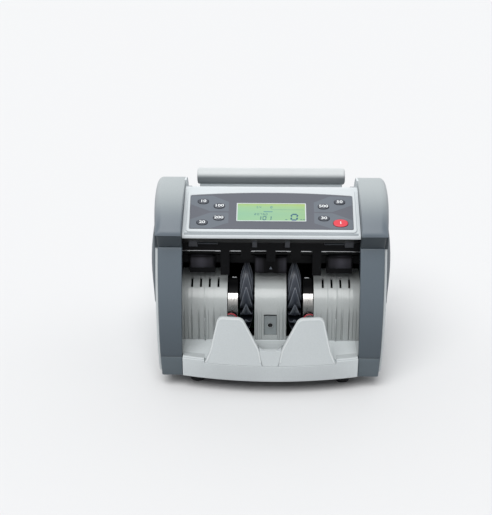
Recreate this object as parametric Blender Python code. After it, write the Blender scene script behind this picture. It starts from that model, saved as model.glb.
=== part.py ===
"""Banknote counter: casing, control panel, hopper, feed mechanism and stacker.

Metres, +Z up, front towards -Y, origin on the floor at the middle of the body.
"""
import math

import bmesh
import bpy
from mathutils import Matrix, Vector

# Shared walls and gaps
WALL = 0.0025
GAP = 0.0003
OVERRUN = 0.004
SMOOTH_ANGLE = math.radians(35)

# Casing, driving sizes
INNER_HALF_WIDTH = 0.0950
FRAME_SETBACK = 0.0050
FRAME_THICKNESS = 0.0015
BASE_BOTTOM = 0.0133
SEAM_HEIGHT = 0.0370
CREASE_HEIGHT = 0.1686
BAND_HEIGHT = 0.0156
HOOD_HEIGHT = 0.0396
BACK_Y = 0.1190
COLUMN_FOOT_Y = -0.1040
COLUMN_TOP_Y = -0.0750
CREASE_Y = -0.0840
FRAME_INNER_X = INNER_HALF_WIDTH + FRAME_SETBACK
BAND_BOTTOM = CREASE_HEIGHT - BAND_HEIGHT
HOOD_TOP = CREASE_HEIGHT + HOOD_HEIGHT
STACKER_SPACE = CREASE_HEIGHT - SEAM_HEIGHT

# Side columns
COLUMN_WIDTH = 0.0262
COLUMN_TOP_X = INNER_HALF_WIDTH + COLUMN_WIDTH
COLUMN_DRAFT = 0.0033
COLUMN_CURVE_POWER = 1.6
COLUMN_OUTER_RETURN = 0.0160
COLUMN_INNER_RETURN = 0.0080
COLUMN_LEVEL_SHARES = (0.0, 0.2, 0.4, 0.6, 0.8, 1.0)
CORNER_SETBACK = 0.0025

# Side hoods
HOOD_NOSE_HEIGHT = 0.0030
HOOD_KNEE_Y = -0.0580
HOOD_KNEE_DROP = 0.0047
HOOD_KNEE_Z = HOOD_TOP - HOOD_KNEE_DROP
HOOD_CREST_Y = 0.0
HOOD_FRONT_STEPS = 7
HOOD_REAR_INSET = 0.0310
HOOD_REAR_Y = BACK_Y - HOOD_REAR_INSET
HOOD_REAR_DROP = 0.0376
HOOD_FALL_RUN = 0.0500
HOOD_FALL_STEPS = 6
HOOD_NOSE_OVERHANG = 0.0018
HOOD_NOSE_X = COLUMN_TOP_X + HOOD_NOSE_OVERHANG
HOOD_SIDE_SWELL = 0.0055
SHOULDER_WIDTH = 0.0085
SHOULDER_HEIGHT = 0.0150
SHOULDER_STEPS = 5
HOOD_WALL_DEPTH = 0.0106
HOOD_WALL_FOOT = CREASE_HEIGHT - HOOD_WALL_DEPTH
HOOD_WALL_START_Y = -0.0600
HOOD_WALL_RAMP = 0.0060
HOOD_WALL_STEP = 0.0001
HOOD_FRONT_WALL = 0.0080
HOOD_FLANGE = FRAME_SETBACK - 2 * GAP
HOOD_HOLLOW_RUN = 0.0350

# Side panels and grips
PANEL_STEP = 0.0028
PANEL_SWELL = 0.0070
PANEL_BOTTOM = 0.0180
PANEL_SETBACK = 0.0045
PANEL_REAR_INSET = 0.0030
PANEL_REAR_Y = BACK_Y - PANEL_REAR_INSET
PANEL_DRAFT_HEIGHT = 0.0850
PANEL_LEVEL_SHARES = (0.0, 0.16, 0.32, 0.46, 0.6, 0.74, 0.87, 1.0)
PANEL_RUN_SHARES = (0.0, 0.1, 0.2, 0.35, 0.5, 0.65, 0.8, 0.9, 1.0)
PANEL_END_SWELL_SHARE = 0.55
PANEL_FOOT_SWELL_SHARE = 0.3
PANEL_TOP_SWELL_SHARE = 0.6
GRIP_FIRST_LEVEL = 3
GRIP_FIRST_RUN = 1
GRIP_LAST_RUN = 7
GRIP_EDGE = 0.0008
GRIP_SWELL = 0.0024

# Base pan and feet
PAN_OVERHANG = 0.0150
PAN_HALF_WIDTH = FRAME_INNER_X + PAN_OVERHANG
PAN_FRONT_Y = -0.0860
PAN_BACK_INSET = 0.0050
PAN_BACK_Y = BACK_Y - PAN_BACK_INSET
PAN_RIM = 0.0120
PAN_FLOOR = 0.0030
TONGUE_CLEARANCE = 0.0010
PAN_TONGUE_HALF_WIDTH = INNER_HALF_WIDTH - TONGUE_CLEARANCE
PAN_TONGUE_Y = -0.1010
FOOT_RADIUS = 0.0080
FOOT_TAPER = 0.0012
FOOT_INSET = 0.0150
FOOT_X = INNER_HALF_WIDTH - FOOT_INSET
FOOT_FRONT_Y = -0.0830
FOOT_REAR_INSET = 0.0240
FOOT_REAR_Y = BACK_Y - FOOT_REAR_INSET
FOOT_SEGMENTS = 20

# Stacker tray and stop
TRAY_HALF_WIDTH = INNER_HALF_WIDTH - GAP
LIP_SIDE_Y = -0.1060
LIP_BOW = 0.0130
LIP_BOTTOM = 0.0150
LIP_DRAFT = 0.0012
TRAY_FLOOR_TOP = SEAM_HEIGHT
TRAY_THICKNESS = 0.0030
TRAY_BACK_Y = -0.0500
TRAY_STATIONS = 14
WING_CLEARANCE = 0.0010
WING_OUTER_X = FRAME_INNER_X - WING_CLEARANCE
WING_FRONT_Y = COLUMN_FOOT_Y + COLUMN_INNER_RETURN + WING_CLEARANCE
STOP_HEIGHT_SHARE = 0.3602
STOP_TOP = TRAY_FLOOR_TOP + STACKER_SPACE * STOP_HEIGHT_SHARE
STOP_LEAN_SHARE = 0.2
STOP_THICKNESS = 0.0050
STOP_FOOT_OUTER_X = 0.0687
STOP_TOP_OUTER_X = 0.0555
STOP_TOP_INNER_X = 0.0313
STOP_SLOPE_INNER_X = 0.0135
STOP_CORNER = 0.0045
SADDLE_SHARE = 0.114
SADDLE_TOP = TRAY_FLOOR_TOP + STACKER_SPACE * SADDLE_SHARE
STOP_SEAT = 0.0006

# Stacker plates
PLATE_CENTRE_Y = -0.0220
PLATE_CENTRE_SHARE = 0.2318
PLATE_RADIUS_SHARE = 0.2812
PLATE_CENTRE_Z = TRAY_FLOOR_TOP + STACKER_SPACE * PLATE_CENTRE_SHARE
PLATE_RADIUS = STACKER_SPACE * PLATE_RADIUS_SHARE
PLATE_TAIL = 0.0100
PLATE_ARC_STEPS = 10
PLATE_FOOT_STEP = 0.0015
SIDE_PLATE_INNER_X = 0.0480
SIDE_PLATE_CLEARANCE = 0.0005
SIDE_PLATE_OUTER_X = FRAME_INNER_X - SIDE_PLATE_CLEARANCE
CENTRE_PLATE_HALF = 0.0176
SLOT_WIDTH = 0.0019
SIDE_PLATE_WIDTH = SIDE_PLATE_OUTER_X - SIDE_PLATE_INNER_X
SLOT_PITCH_SHARE = 0.1903
SLOT_FIRST_SHARE = 0.1961
RIB_SHARE = 0.4816
SLOT_PITCH = SIDE_PLATE_WIDTH * SLOT_PITCH_SHARE
SLOT_FIRST_X = SIDE_PLATE_INNER_X + SIDE_PLATE_WIDTH * SLOT_FIRST_SHARE
SLOT_COUNT = 4
SLOT_FRONT_Y = -0.0420
SLOT_BACK_Y = -0.0300
RIB_X = SIDE_PLATE_INNER_X + SIDE_PLATE_WIDTH * RIB_SHARE
RIB_WIDTH = 0.0018
RIB_HEIGHT = 0.0230
RIB_DEPTH = 0.0025

# Sensor brackets and stack sensor
BRACKET_INNER_X = 0.0362
BRACKET_OUTER_X = 0.0474
BRACKET_SETBACK = 0.0015
BRACKET_START_ANGLE = math.radians(142)
SENSOR_HALF_WIDTH = 0.0072
SENSOR_LOW_SHARE = 0.038
SENSOR_HIGH_SHARE = 0.19
SENSOR_BOTTOM = TRAY_FLOOR_TOP + STACKER_SPACE * SENSOR_LOW_SHARE
SENSOR_TOP = TRAY_FLOOR_TOP + STACKER_SPACE * SENSOR_HIGH_SHARE
SENSOR_SETBACK = 0.0012
SENSOR_DEPTH = 0.0080
LENS_RADIUS = 0.0030
LENS_RISE = 0.0010

# Impellers
IMPELLER_Y = -0.0300
IMPELLER_CENTRE_SHARE = 0.304
IMPELLER_Z = TRAY_FLOOR_TOP + STACKER_SPACE * IMPELLER_CENTRE_SHARE
IMPELLER_X = 0.0268
IMPELLER_HALF_WIDTH = 0.0076
IMPELLER_TIP_HALF_WIDTH = 0.0022
IMPELLER_HUB_RADIUS = 0.0160
IMPELLER_TIP_SHARE = 0.3153
IMPELLER_TIP_RADIUS = STACKER_SPACE * IMPELLER_TIP_SHARE
IMPELLER_FINS = 14
IMPELLER_FIN_STEPS = 5
IMPELLER_SWEEP = math.radians(62)
IMPELLER_FIN_THICKNESS = 0.0016

# Shafts, rollers and drive
SHAFT_RADIUS = 0.0040
SHAFT_OVERHANG = 0.0040
SHAFT_END_X = FRAME_INNER_X + SHAFT_OVERHANG
SHAFT_HOLE_GAP = 0.0010
PULLEY_STANDOFF = 0.0045
PULLEY_WIDTH = 0.0070
PULLEY_INNER_X = FRAME_INNER_X + PULLEY_STANDOFF
PULLEY_OUTER_X = PULLEY_INNER_X + PULLEY_WIDTH
ROUND_SEGMENTS = 28
IMPELLER_PULLEY_RADIUS = 0.0140
FEED_Y = 0.0320
FEED_DROP = 0.0176
FEED_Z = CREASE_HEIGHT - FEED_DROP
FEED_PULLEY_RADIUS = 0.0120
FEED_ROLLER_RADIUS = 0.0160
FEED_ROLLER_X = 0.0300
FEED_ROLLER_HALF_WIDTH = 0.0060
TRANSPORT_Y = 0.0020
TRANSPORT_HEIGHT_SHARE = 0.7675
TRANSPORT_Z = SEAM_HEIGHT + STACKER_SPACE * TRANSPORT_HEIGHT_SHARE
TRANSPORT_PULLEY_RADIUS = 0.0100
TRANSPORT_ROLLER_RADIUS = 0.0110
TRANSPORT_ROLLER_X = 0.0460
TRANSPORT_ROLLER_HALF_WIDTH = 0.0100
MOTOR_Y = 0.0700
MOTOR_Z = 0.0450
MOTOR_RADIUS = 0.0190
MOTOR_LENGTH = 0.0520
MOTOR_SHAFT_RADIUS = 0.0030
MOTOR_PULLEY_RADIUS = 0.0080
BELT_THICKNESS = 0.0015
BELT_MARGIN = 0.0005
BELT_STEPS = 56

# Note guides and rod
GUIDE_HALF_WIDTH = FRAME_INNER_X - GAP
UPPER_BEAM_FRONT_Y = -0.0520
UPPER_BEAM_BACK_Y = -0.0300
UPPER_BEAM_LOW_SHARE = 0.7903
UPPER_BEAM_HIGH_SHARE = 0.8587
UPPER_BEAM_BOTTOM = SEAM_HEIGHT + STACKER_SPACE * UPPER_BEAM_LOW_SHARE
UPPER_BEAM_TOP = SEAM_HEIGHT + STACKER_SPACE * UPPER_BEAM_HIGH_SHARE
FIN_DEPTH = 0.0050
FIN_CENTRE_WIDTH = 0.0100
FIN_MIDDLE_WIDTH = 0.0110
FIN_OUTER_WIDTH = 0.0096
FIN_MIDDLE_X = 0.0273
FIN_OUTER_X = 0.0503
FIN_CENTRE_DROP = 0.0130
FIN_MIDDLE_DROP = 0.0100
FIN_OUTER_DROP = 0.0290
LOWER_BEAM_FRONT_Y = -0.0400
LOWER_BEAM_BACK_Y = -0.0280
LOWER_BEAM_LOW_SHARE = 0.6459
LOWER_BEAM_HIGH_SHARE = 0.7143
LOWER_BEAM_BOTTOM = SEAM_HEIGHT + STACKER_SPACE * LOWER_BEAM_LOW_SHARE
LOWER_BEAM_TOP = SEAM_HEIGHT + STACKER_SPACE * LOWER_BEAM_HIGH_SHARE
BLOCK_FRONT_Y = -0.0450
BLOCK_DROP = 0.0100
BLOCK_BOTTOM = LOWER_BEAM_BOTTOM - BLOCK_DROP
CENTRE_BLOCK_HALF = 0.0178
SIDE_BLOCK_MARGIN = 0.0050
SIDE_BLOCK_WIDTH = 0.0284
SIDE_BLOCK_OUTER_X = INNER_HALF_WIDTH - SIDE_BLOCK_MARGIN
SIDE_BLOCK_INNER_X = SIDE_BLOCK_OUTER_X - SIDE_BLOCK_WIDTH
ROD_RADIUS = 0.0019
ROD_Y = -0.0360
ROD_HEIGHT_SHARE = 0.7432
ROD_Z = SEAM_HEIGHT + STACKER_SPACE * ROD_HEIGHT_SHARE

# Control panel, on its own slope
SLOPE = math.radians(29.2)
NOSE_Y = -0.0760
NOSE_DROP = 0.0053
NOSE_Z = CREASE_HEIGHT - NOSE_DROP
COVER_TOP_S = 0.0722
COVER_SURFACE = 0.0038
COVER_NOSE_RUN = 0.0035
COVER_WALL = 0.0030
COVER_REAR_Y = -0.0100
COVER_REAR_RISE = 0.0014
COVER_REAR_FOOT = CREASE_HEIGHT + COVER_REAR_RISE
PLATFORM_BOTTOM_S = 0.0055
PLATFORM_TOP_S = 0.0685
PLATFORM_SIDE_MARGIN = 0.0040
PLATFORM_HALF_WIDTH = INNER_HALF_WIDTH - PLATFORM_SIDE_MARGIN
PLATFORM_RISE = 0.0016
PLATFORM_TOP = COVER_SURFACE + PLATFORM_RISE
OVERLAY_BOTTOM_S = 0.0097
OVERLAY_SIDE_S = 0.0579
OVERLAY_CROWN = 0.0041
OVERLAY_BOTTOM_MARGIN = 0.0078
OVERLAY_TOP_MARGIN = 0.0070
OVERLAY_HALF_BOTTOM = INNER_HALF_WIDTH - OVERLAY_BOTTOM_MARGIN
OVERLAY_HALF_TOP = INNER_HALF_WIDTH - OVERLAY_TOP_MARGIN
OVERLAY_THICKNESS = 0.0006
OVERLAY_RECESS = 0.0012
RECESS_FLOOR = PLATFORM_TOP - OVERLAY_RECESS
OVERLAY_STEPS = 12
DISPLAY_WIDTH_SHARE = 0.3947
DISPLAY_HALF_WIDTH = INNER_HALF_WIDTH * DISPLAY_WIDTH_SHARE
DISPLAY_BOTTOM_S = 0.0206
DISPLAY_TOP_S = 0.0467
DISPLAY_LEDGE = 0.0020
DISPLAY_THICKNESS = 0.0009
KEY_OUTER_SHARE = 0.7789
KEY_INNER_SHARE = 0.5937
KEY_OUTER_X = INNER_HALF_WIDTH * KEY_OUTER_SHARE
KEY_INNER_X = INNER_HALF_WIDTH * KEY_INNER_SHARE
KEY_OUTER_TOP_S = 0.0488
KEY_OUTER_BOTTOM_S = 0.0184
KEY_INNER_TOP_S = 0.0423
KEY_INNER_BOTTOM_S = 0.0252
KEY_HALF_LENGTH = 0.0055
KEY_HALF_HEIGHT = 0.0038
START_KEY_HALF_LENGTH = 0.0078
START_KEY_HALF_HEIGHT = 0.0052
KEY_RISE = 0.0009
KEY_FOOT = 0.0018
KEY_CLEARANCE = 0.0004
KEY_SEGMENTS = 20
BOARD_MARGIN = 0.0070
BOARD_HALF_WIDTH = INNER_HALF_WIDTH - BOARD_MARGIN
BOARD_BOTTOM_S = 0.0120
BOARD_TOP_S = 0.0560
BOARD_TOP_H = 0.0004
BOARD_THICKNESS = 0.0016

# Hopper
HOPPER_HALF_WIDTH = INNER_HALF_WIDTH
HOPPER_FRONT_Y = 0.0040
HOPPER_FRONT_DROP = 0.0086
HOPPER_FRONT_Z = CREASE_HEIGHT - HOPPER_FRONT_DROP
HOPPER_REAR_Y = 0.0795
HOPPER_REAR_RISE = 0.0004
HOPPER_REAR_Z = CREASE_HEIGHT + HOPPER_REAR_RISE
ROLLER_SLOT_GAP = 0.0015
GUIDE_MARGIN = 0.0125
GUIDE_X = HOPPER_HALF_WIDTH - GUIDE_MARGIN
GUIDE_THICKNESS = 0.0025
GUIDE_HEIGHT = 0.0090
GUIDE_FRONT_SHARE = 0.12
GUIDE_BACK_SHARE = 0.78
ROLL_MARGIN = 0.0065
ROLL_HALF_WIDTH = HOPPER_HALF_WIDTH - ROLL_MARGIN
ROLL_RADIUS = 0.0098
ROLL_BACK_INSET = 0.0330
ROLL_Y = BACK_Y - ROLL_BACK_INSET
ROLL_RISE = 0.0157
ROLL_Z = CREASE_HEIGHT + ROLL_RISE
ROLL_CORNER = 0.0028
ROLL_END_STEPS = 4
ROLL_SEGMENTS = 20
STEM_THICKNESS = 0.0080
STEM_MARGIN = 0.0030
STEM_HALF_WIDTH = ROLL_HALF_WIDTH - STEM_MARGIN

# Rear cover and what it carries
REAR_OVERHANG = 0.0028
REAR_HALF_WIDTH = COLUMN_TOP_X + REAR_OVERHANG
REAR_WALL_Y = BACK_Y - WALL
REAR_BOTTOM = 0.0180
DECK_DEPTH = 0.0390
DECK_FRONT_Y = BACK_Y - DECK_DEPTH
DECK_DROP = 0.0090
DECK_TOP_Z = CREASE_HEIGHT - DECK_DROP
DECK_HALF_WIDTH = INNER_HALF_WIDTH
VENT_WIDTH = 0.0480
VENT_HEIGHT = 0.0030
VENT_PITCH = 0.0075
VENT_COUNT = 7
VENT_X = 0.0420
VENT_FIRST_Z = 0.0700
INLET_INSET = 0.0170
INLET_X = INLET_INSET - INNER_HALF_WIDTH
INLET_Z = 0.0420
INLET_HALF_WIDTH = 0.0138
INLET_HALF_HEIGHT = 0.0102
INLET_DEPTH = 0.0200
INLET_CAVITY_DEPTH = 0.0160
INLET_WALL = 0.0016
PIN_LENGTH = 0.0095
PIN_HALF_WIDTH = 0.0010
PIN_HALF_HEIGHT = 0.0022
PIN_SPREAD = 0.0070
PIN_RAISE = 0.0020
SWITCH_OFFSET = 0.0380
SWITCH_X = INLET_X + SWITCH_OFFSET
SWITCH_HALF_WIDTH = 0.0065
SWITCH_HALF_HEIGHT = 0.0095
SWITCH_DEPTH = 0.0080
SWITCH_CLEARANCE = 0.0012
SWITCH_CROWN = 0.0014
SWITCH_TILT = math.radians(7)
KNOB_RADIUS = 0.0090
KNOB_HEIGHT = 0.0065
KNOB_INSET = 0.0145
KNOB_Y = BACK_Y - KNOB_INSET
KNOB_FLUTES = 12
KNOB_FLUTE_DEPTH = 0.0007

# Electronics in the pan
TRANSFORMER_SIDE_GAP = 0.0100
TRANSFORMER_WIDTH = 0.0500
TRANSFORMER_HIGH_X = FRAME_INNER_X - TRANSFORMER_SIDE_GAP
TRANSFORMER_LOW_X = TRANSFORMER_HIGH_X - TRANSFORMER_WIDTH
MAIN_BOARD_SIDE_GAP = 0.0080
MAIN_BOARD_WIDTH = 0.0700
MAIN_BOARD_HIGH_X = TRANSFORMER_LOW_X - MAIN_BOARD_SIDE_GAP
MAIN_BOARD_LOW_X = MAIN_BOARD_HIGH_X - MAIN_BOARD_WIDTH
MAIN_BOARD_LOW_Y = 0.0
MAIN_BOARD_HIGH_Y = 0.1000
MAIN_BOARD_LIFT = 0.0060
MAIN_BOARD_THICKNESS = 0.0016
POST_RADIUS = 0.0030
POST_INSET = 0.0060
CHIP_SIZE = 0.0200
CHIP_HEIGHT = 0.0050
TRANSFORMER_LOW_Y = 0.0450
TRANSFORMER_HIGH_Y = 0.0950
TRANSFORMER_HEIGHT = 0.0420
TRANSFORMER_BEVEL = 0.0030
FRAME_FRONT_Y = -0.0560
FRAME_BACK_INSET = 0.0110
FRAME_BACK_Y = BACK_Y - FRAME_BACK_INSET
FRAME_TOP_DROP = 0.0086
FRAME_TOP = CREASE_HEIGHT - FRAME_TOP_DROP
FRAME_CUT = 0.0300


# Materials

def make_material(name, colour, roughness, metallic=0.0):
    """One Principled material."""
    material = bpy.data.materials.new(name)
    material.use_nodes = True
    shader = material.node_tree.nodes["Principled BSDF"]
    shader.inputs["Base Color"].default_value = (*colour, 1.0)
    shader.inputs["Roughness"].default_value = roughness
    shader.inputs["Metallic"].default_value = metallic
    return material


# Mesh helpers

def make_object(name, points, faces, material):
    """A closed mesh object with its faces turned outwards."""
    mesh = bpy.data.meshes.new(name)
    shape = bmesh.new()
    verts = [shape.verts.new(point) for point in points]
    for face in faces:
        shape.faces.new([verts[index] for index in face])
    bmesh.ops.recalc_face_normals(shape, faces=shape.faces)
    shape.to_mesh(mesh)
    shape.free()
    mesh.shade_smooth()
    mesh.set_sharp_from_angle(angle=SMOOTH_ANGLE)
    thing = bpy.data.objects.new(name, mesh)
    bpy.context.scene.collection.objects.link(thing)
    if material:
        mesh.materials.append(material)
    return thing


def loft(name, rings, material):
    """A solid through rings that have the same number of points."""
    count = len(rings[0])
    points = [point for ring in rings for point in ring]
    faces = [list(range(count)), [len(points) - count + i for i in range(count)]]
    for level in range(len(rings) - 1):
        low, high = level * count, (level + 1) * count
        for i in range(count):
            j = (i + 1) % count
            faces.append([low + i, low + j, high + j, high + i])
    return make_object(name, points, faces, material)


def along_x(name, profile, low, high, material):
    """A profile of (y, z) points run along X."""
    return loft(name, [[(x, y, z) for y, z in profile] for x in (low, high)], material)


def box(name, low, high, material):
    """A box between two corners."""
    profile = [(low[1], low[2]), (high[1], low[2]), (high[1], high[2]), (low[1], high[2])]
    return along_x(name, profile, low[0], high[0], material)


def circle(centre_y, centre_z, radius, count):
    """Points of a circle in the YZ plane."""
    turns = [2 * math.pi * i / count for i in range(count)]
    return [(centre_y + radius * math.cos(a), centre_z + radius * math.sin(a)) for a in turns]


def turned_x(name, steps, centre_y, centre_z, material):
    """A solid turned round an X axis, from (x, radius) steps."""
    rings = []
    for x, radius in steps:
        rings.append([(x, y, z) for y, z in circle(centre_y, centre_z, radius, ROUND_SEGMENTS)])
    return loft(name, rings, material)


def tool(thing):
    """Marks a cutter or a part to be fused, which is not a piece itself."""
    thing.hide_render = True
    thing.display_type = "WIRE"
    return thing


def combine(target, other, operation):
    """A Boolean between a piece and a tool."""
    step = target.modifiers.new(operation.lower(), "BOOLEAN")
    step.operation = operation
    step.object = tool(other)


def cut(target, other):
    combine(target, other, "DIFFERENCE")


def fuse(target, other):
    combine(target, other, "UNION")


def set_origin(thing, place):
    """Moves an object's origin to a joint axis and leaves its mesh where it is."""
    thing.data.transform(Matrix.Translation(-Vector(place)))
    thing.location = place


def mix(low, high, share):
    return low + (high - low) * share


def side_name(stem, side):
    return f"{stem}_{'right' if side > 0 else 'left'}"


# Casing surfaces

def column_x(z):
    """Outer face of the column at a height."""
    share = (BAND_BOTTOM - z) / (BAND_BOTTOM - BASE_BOTTOM)
    return COLUMN_TOP_X - COLUMN_DRAFT * max(share, 0) ** 2


def column_y(z):
    """Front face of the column, which leans back and then kicks out under the hood."""
    if z < SEAM_HEIGHT:
        return COLUMN_FOOT_Y + CORNER_SETBACK * (SEAM_HEIGHT - z) / (SEAM_HEIGHT - BASE_BOTTOM)
    if z <= BAND_BOTTOM:
        share = (z - SEAM_HEIGHT) / (BAND_BOTTOM - SEAM_HEIGHT)
        return mix(COLUMN_FOOT_Y, COLUMN_TOP_Y, share ** COLUMN_CURVE_POWER)
    return mix(COLUMN_TOP_Y, CREASE_Y, (z - BAND_BOTTOM) / (CREASE_HEIGHT - BAND_BOTTOM))


def column_ring(side, z):
    """U-shaped section of a column, open to the back."""
    front = column_y(z)
    inner = INNER_HALF_WIDTH + GAP
    outer = column_x(z)
    outline = [(inner, front), (outer, front), (outer, front + COLUMN_OUTER_RETURN),
               (outer - WALL, front + COLUMN_OUTER_RETURN), (outer - WALL, front + WALL),
               (inner + WALL, front + WALL), (inner + WALL, front + COLUMN_INNER_RETURN),
               (inner, front + COLUMN_INNER_RETURN)]
    return [(side * x, y, z) for x, y in outline]


def side_column(side, material):
    foot = SEAM_HEIGHT + GAP
    levels = [mix(foot, BAND_BOTTOM, share) for share in COLUMN_LEVEL_SHARES]
    levels.append(CREASE_HEIGHT)
    return loft(side_name("side_column", side), [column_ring(side, z) for z in levels], material)


def base_corner(side, material):
    levels = (BASE_BOTTOM, SEAM_HEIGHT)
    return loft(side_name("base_corner", side), [column_ring(side, z) for z in levels], material)


def hood_rear_top(y):
    """Height of a hood behind its crest: a smooth fall, then level."""
    share = min((y - HOOD_CREST_Y) / HOOD_FALL_RUN, 1)
    return HOOD_TOP - HOOD_REAR_DROP * (1 - math.cos(share * math.pi)) / 2


def hood_line():
    """Crest line of a hood as (y, z), from its nose to its rear end."""
    nose = Vector((CREASE_Y, CREASE_HEIGHT + GAP + HOOD_NOSE_HEIGHT))
    knee = Vector((HOOD_KNEE_Y, HOOD_KNEE_Z))
    crest = Vector((HOOD_CREST_Y, HOOD_TOP))
    line = []
    for i in range(HOOD_FRONT_STEPS + 1):
        t = i / HOOD_FRONT_STEPS
        point = (1 - t) ** 2 * nose + 2 * t * (1 - t) * knee + t ** 2 * crest
        line.append((point.x, point.y))
    for i in range(1, HOOD_FALL_STEPS + 1):
        y = HOOD_CREST_Y + HOOD_FALL_RUN * i / HOOD_FALL_STEPS
        line.append((y, hood_rear_top(y)))
    line.append((HOOD_REAR_Y, hood_rear_top(HOOD_REAR_Y)))
    return line


def hood_x(y):
    """Outer face of a hood, narrower at its nose."""
    share = min(max((y - CREASE_Y) / (HOOD_CREST_Y - CREASE_Y), 0), 1)
    return HOOD_NOSE_X + HOOD_SIDE_SWELL * math.sin(share * math.pi / 2)


def hood_ring(side, y, top, inset, foot_drop):
    """Section of a hood at y, drawn in by inset for its hollow."""
    foot = CREASE_HEIGHT + GAP
    wall_share = min(max((y - HOOD_WALL_START_Y) / HOOD_WALL_RAMP, 0), 1)
    inner_foot = mix(foot - HOOD_WALL_STEP, HOOD_WALL_FOOT, wall_share)
    inner = INNER_HALF_WIDTH + GAP + inset
    outer = hood_x(y) - inset
    top = top - inset
    width = SHOULDER_WIDTH - inset
    height = min(SHOULDER_HEIGHT - inset, (top - foot) * math.sin(math.radians(60)))
    outline = [(inner, inner_foot - foot_drop)]
    outline.append((inner, top))
    for i in range(SHOULDER_STEPS + 1):
        angle = math.pi / 2 * i / SHOULDER_STEPS
        outline.append((outer - width * (1 - math.sin(angle)), top - height * (1 - math.cos(angle))))
    outline.append((outer, foot - foot_drop))
    outline.append((inner + HOOD_FLANGE, foot - foot_drop))
    outline.append((inner + HOOD_FLANGE, inner_foot - foot_drop))
    return [(side * x, y, z) for x, z in outline]


def side_hood(side, material):
    line = hood_line()
    name = side_name("side_hood", side)
    hood = loft(name, [hood_ring(side, y, z, 0, 0) for y, z in line], material)
    rear = HOOD_CREST_Y + HOOD_HOLLOW_RUN
    hollow = [(y, z) for y, z in line if CREASE_Y + HOOD_FRONT_WALL < y < rear]
    hollow.append((rear, hood_rear_top(rear)))
    rings = [hood_ring(side, y, z, WALL, OVERRUN) for y, z in hollow]
    cut(hood, loft("hollow_" + name, rings, None))
    return hood


def panel_point(side, level_share, run_share, lift):
    """Point on a side panel's outer face, raised by lift."""
    z = mix(PANEL_BOTTOM, CREASE_HEIGHT, level_share)
    start = column_y(min(z, BAND_BOTTOM)) + PANEL_SETBACK
    y = mix(start, PANEL_REAR_Y, run_share)
    foot_share = min((z - PANEL_BOTTOM) / (PANEL_DRAFT_HEIGHT - PANEL_BOTTOM), 1)
    fade = mix(PANEL_FOOT_SWELL_SHARE, 1, math.sin(foot_share * math.pi / 2))
    rise = math.sin(min(run_share * 2, 1) * math.pi / 2)
    fall = 1 - (1 - PANEL_END_SWELL_SHARE) * max(run_share * 2 - 1, 0) ** 2
    draw = 1 - (1 - PANEL_TOP_SWELL_SHARE) * max(level_share * 2 - 1, 0) ** 2
    x = column_x(z) + PANEL_STEP + PANEL_SWELL * fade * rise * fall * draw + lift
    return side * x, y, z


def skin(name, side, levels, runs, low_lift, high_lift, material):
    """A curved skin between two lifts from the side panel's outer face."""
    rings = []
    for run in runs:
        ring = [panel_point(side, level, run, high_lift(level, run)) for level in levels]
        ring += [panel_point(side, level, run, low_lift) for level in reversed(levels)]
        rings.append(ring)
    return loft(name, rings, material)


def side_panel(side, material):
    name = side_name("side_panel", side)
    return skin(name, side, PANEL_LEVEL_SHARES, PANEL_RUN_SHARES, -WALL, lambda level, run: 0.0,
                material)


def side_grip(side, material):
    """Dark swelling moulding on the side panel."""
    levels = PANEL_LEVEL_SHARES[GRIP_FIRST_LEVEL:]
    runs = PANEL_RUN_SHARES[GRIP_FIRST_RUN:GRIP_LAST_RUN + 1]

    def swell(level, run):
        up = (level - levels[0]) / (levels[-1] - levels[0])
        back = (run - runs[0]) / (runs[-1] - runs[0])
        return GAP + GRIP_EDGE + GRIP_SWELL * math.sin(up * math.pi) * math.sin(back * math.pi)

    return skin(side_name("side_grip", side), side, levels, runs, GAP, swell, material)


# Base

def base_pan(material):
    low = (-PAN_HALF_WIDTH, PAN_FRONT_Y, BASE_BOTTOM)
    high = (PAN_HALF_WIDTH, PAN_BACK_Y, BASE_BOTTOM + PAN_RIM)
    pan = box("base_pan", low, high, material)
    fuse(pan, box("pan_tongue", (-PAN_TONGUE_HALF_WIDTH, PAN_TONGUE_Y, BASE_BOTTOM),
                  (PAN_TONGUE_HALF_WIDTH, PAN_FRONT_Y + WALL / 2, BASE_BOTTOM + PAN_FLOOR), None))
    hollow_low = (low[0] + WALL, low[1] + WALL, BASE_BOTTOM + PAN_FLOOR)
    hollow_high = (high[0] - WALL, high[1] - WALL, high[2] + OVERRUN)
    cut(pan, box("pan_hollow", hollow_low, hollow_high, None))
    return pan


def foot(name, x, y, material):
    rings = []
    for z, radius in ((0, FOOT_RADIUS - FOOT_TAPER), (FOOT_TAPER, FOOT_RADIUS),
                      (BASE_BOTTOM - GAP, FOOT_RADIUS)):
        ring = circle(x, y, radius, FOOT_SEGMENTS)
        rings.append([(px, py, z) for px, py in ring])
    return loft(name, rings, material)


# Stacker

def lip_y(x):
    """Front face of the lip, which bows forward in the middle."""
    return LIP_SIDE_Y - LIP_BOW * (1 - (x / INNER_HALF_WIDTH) ** 2)


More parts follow.
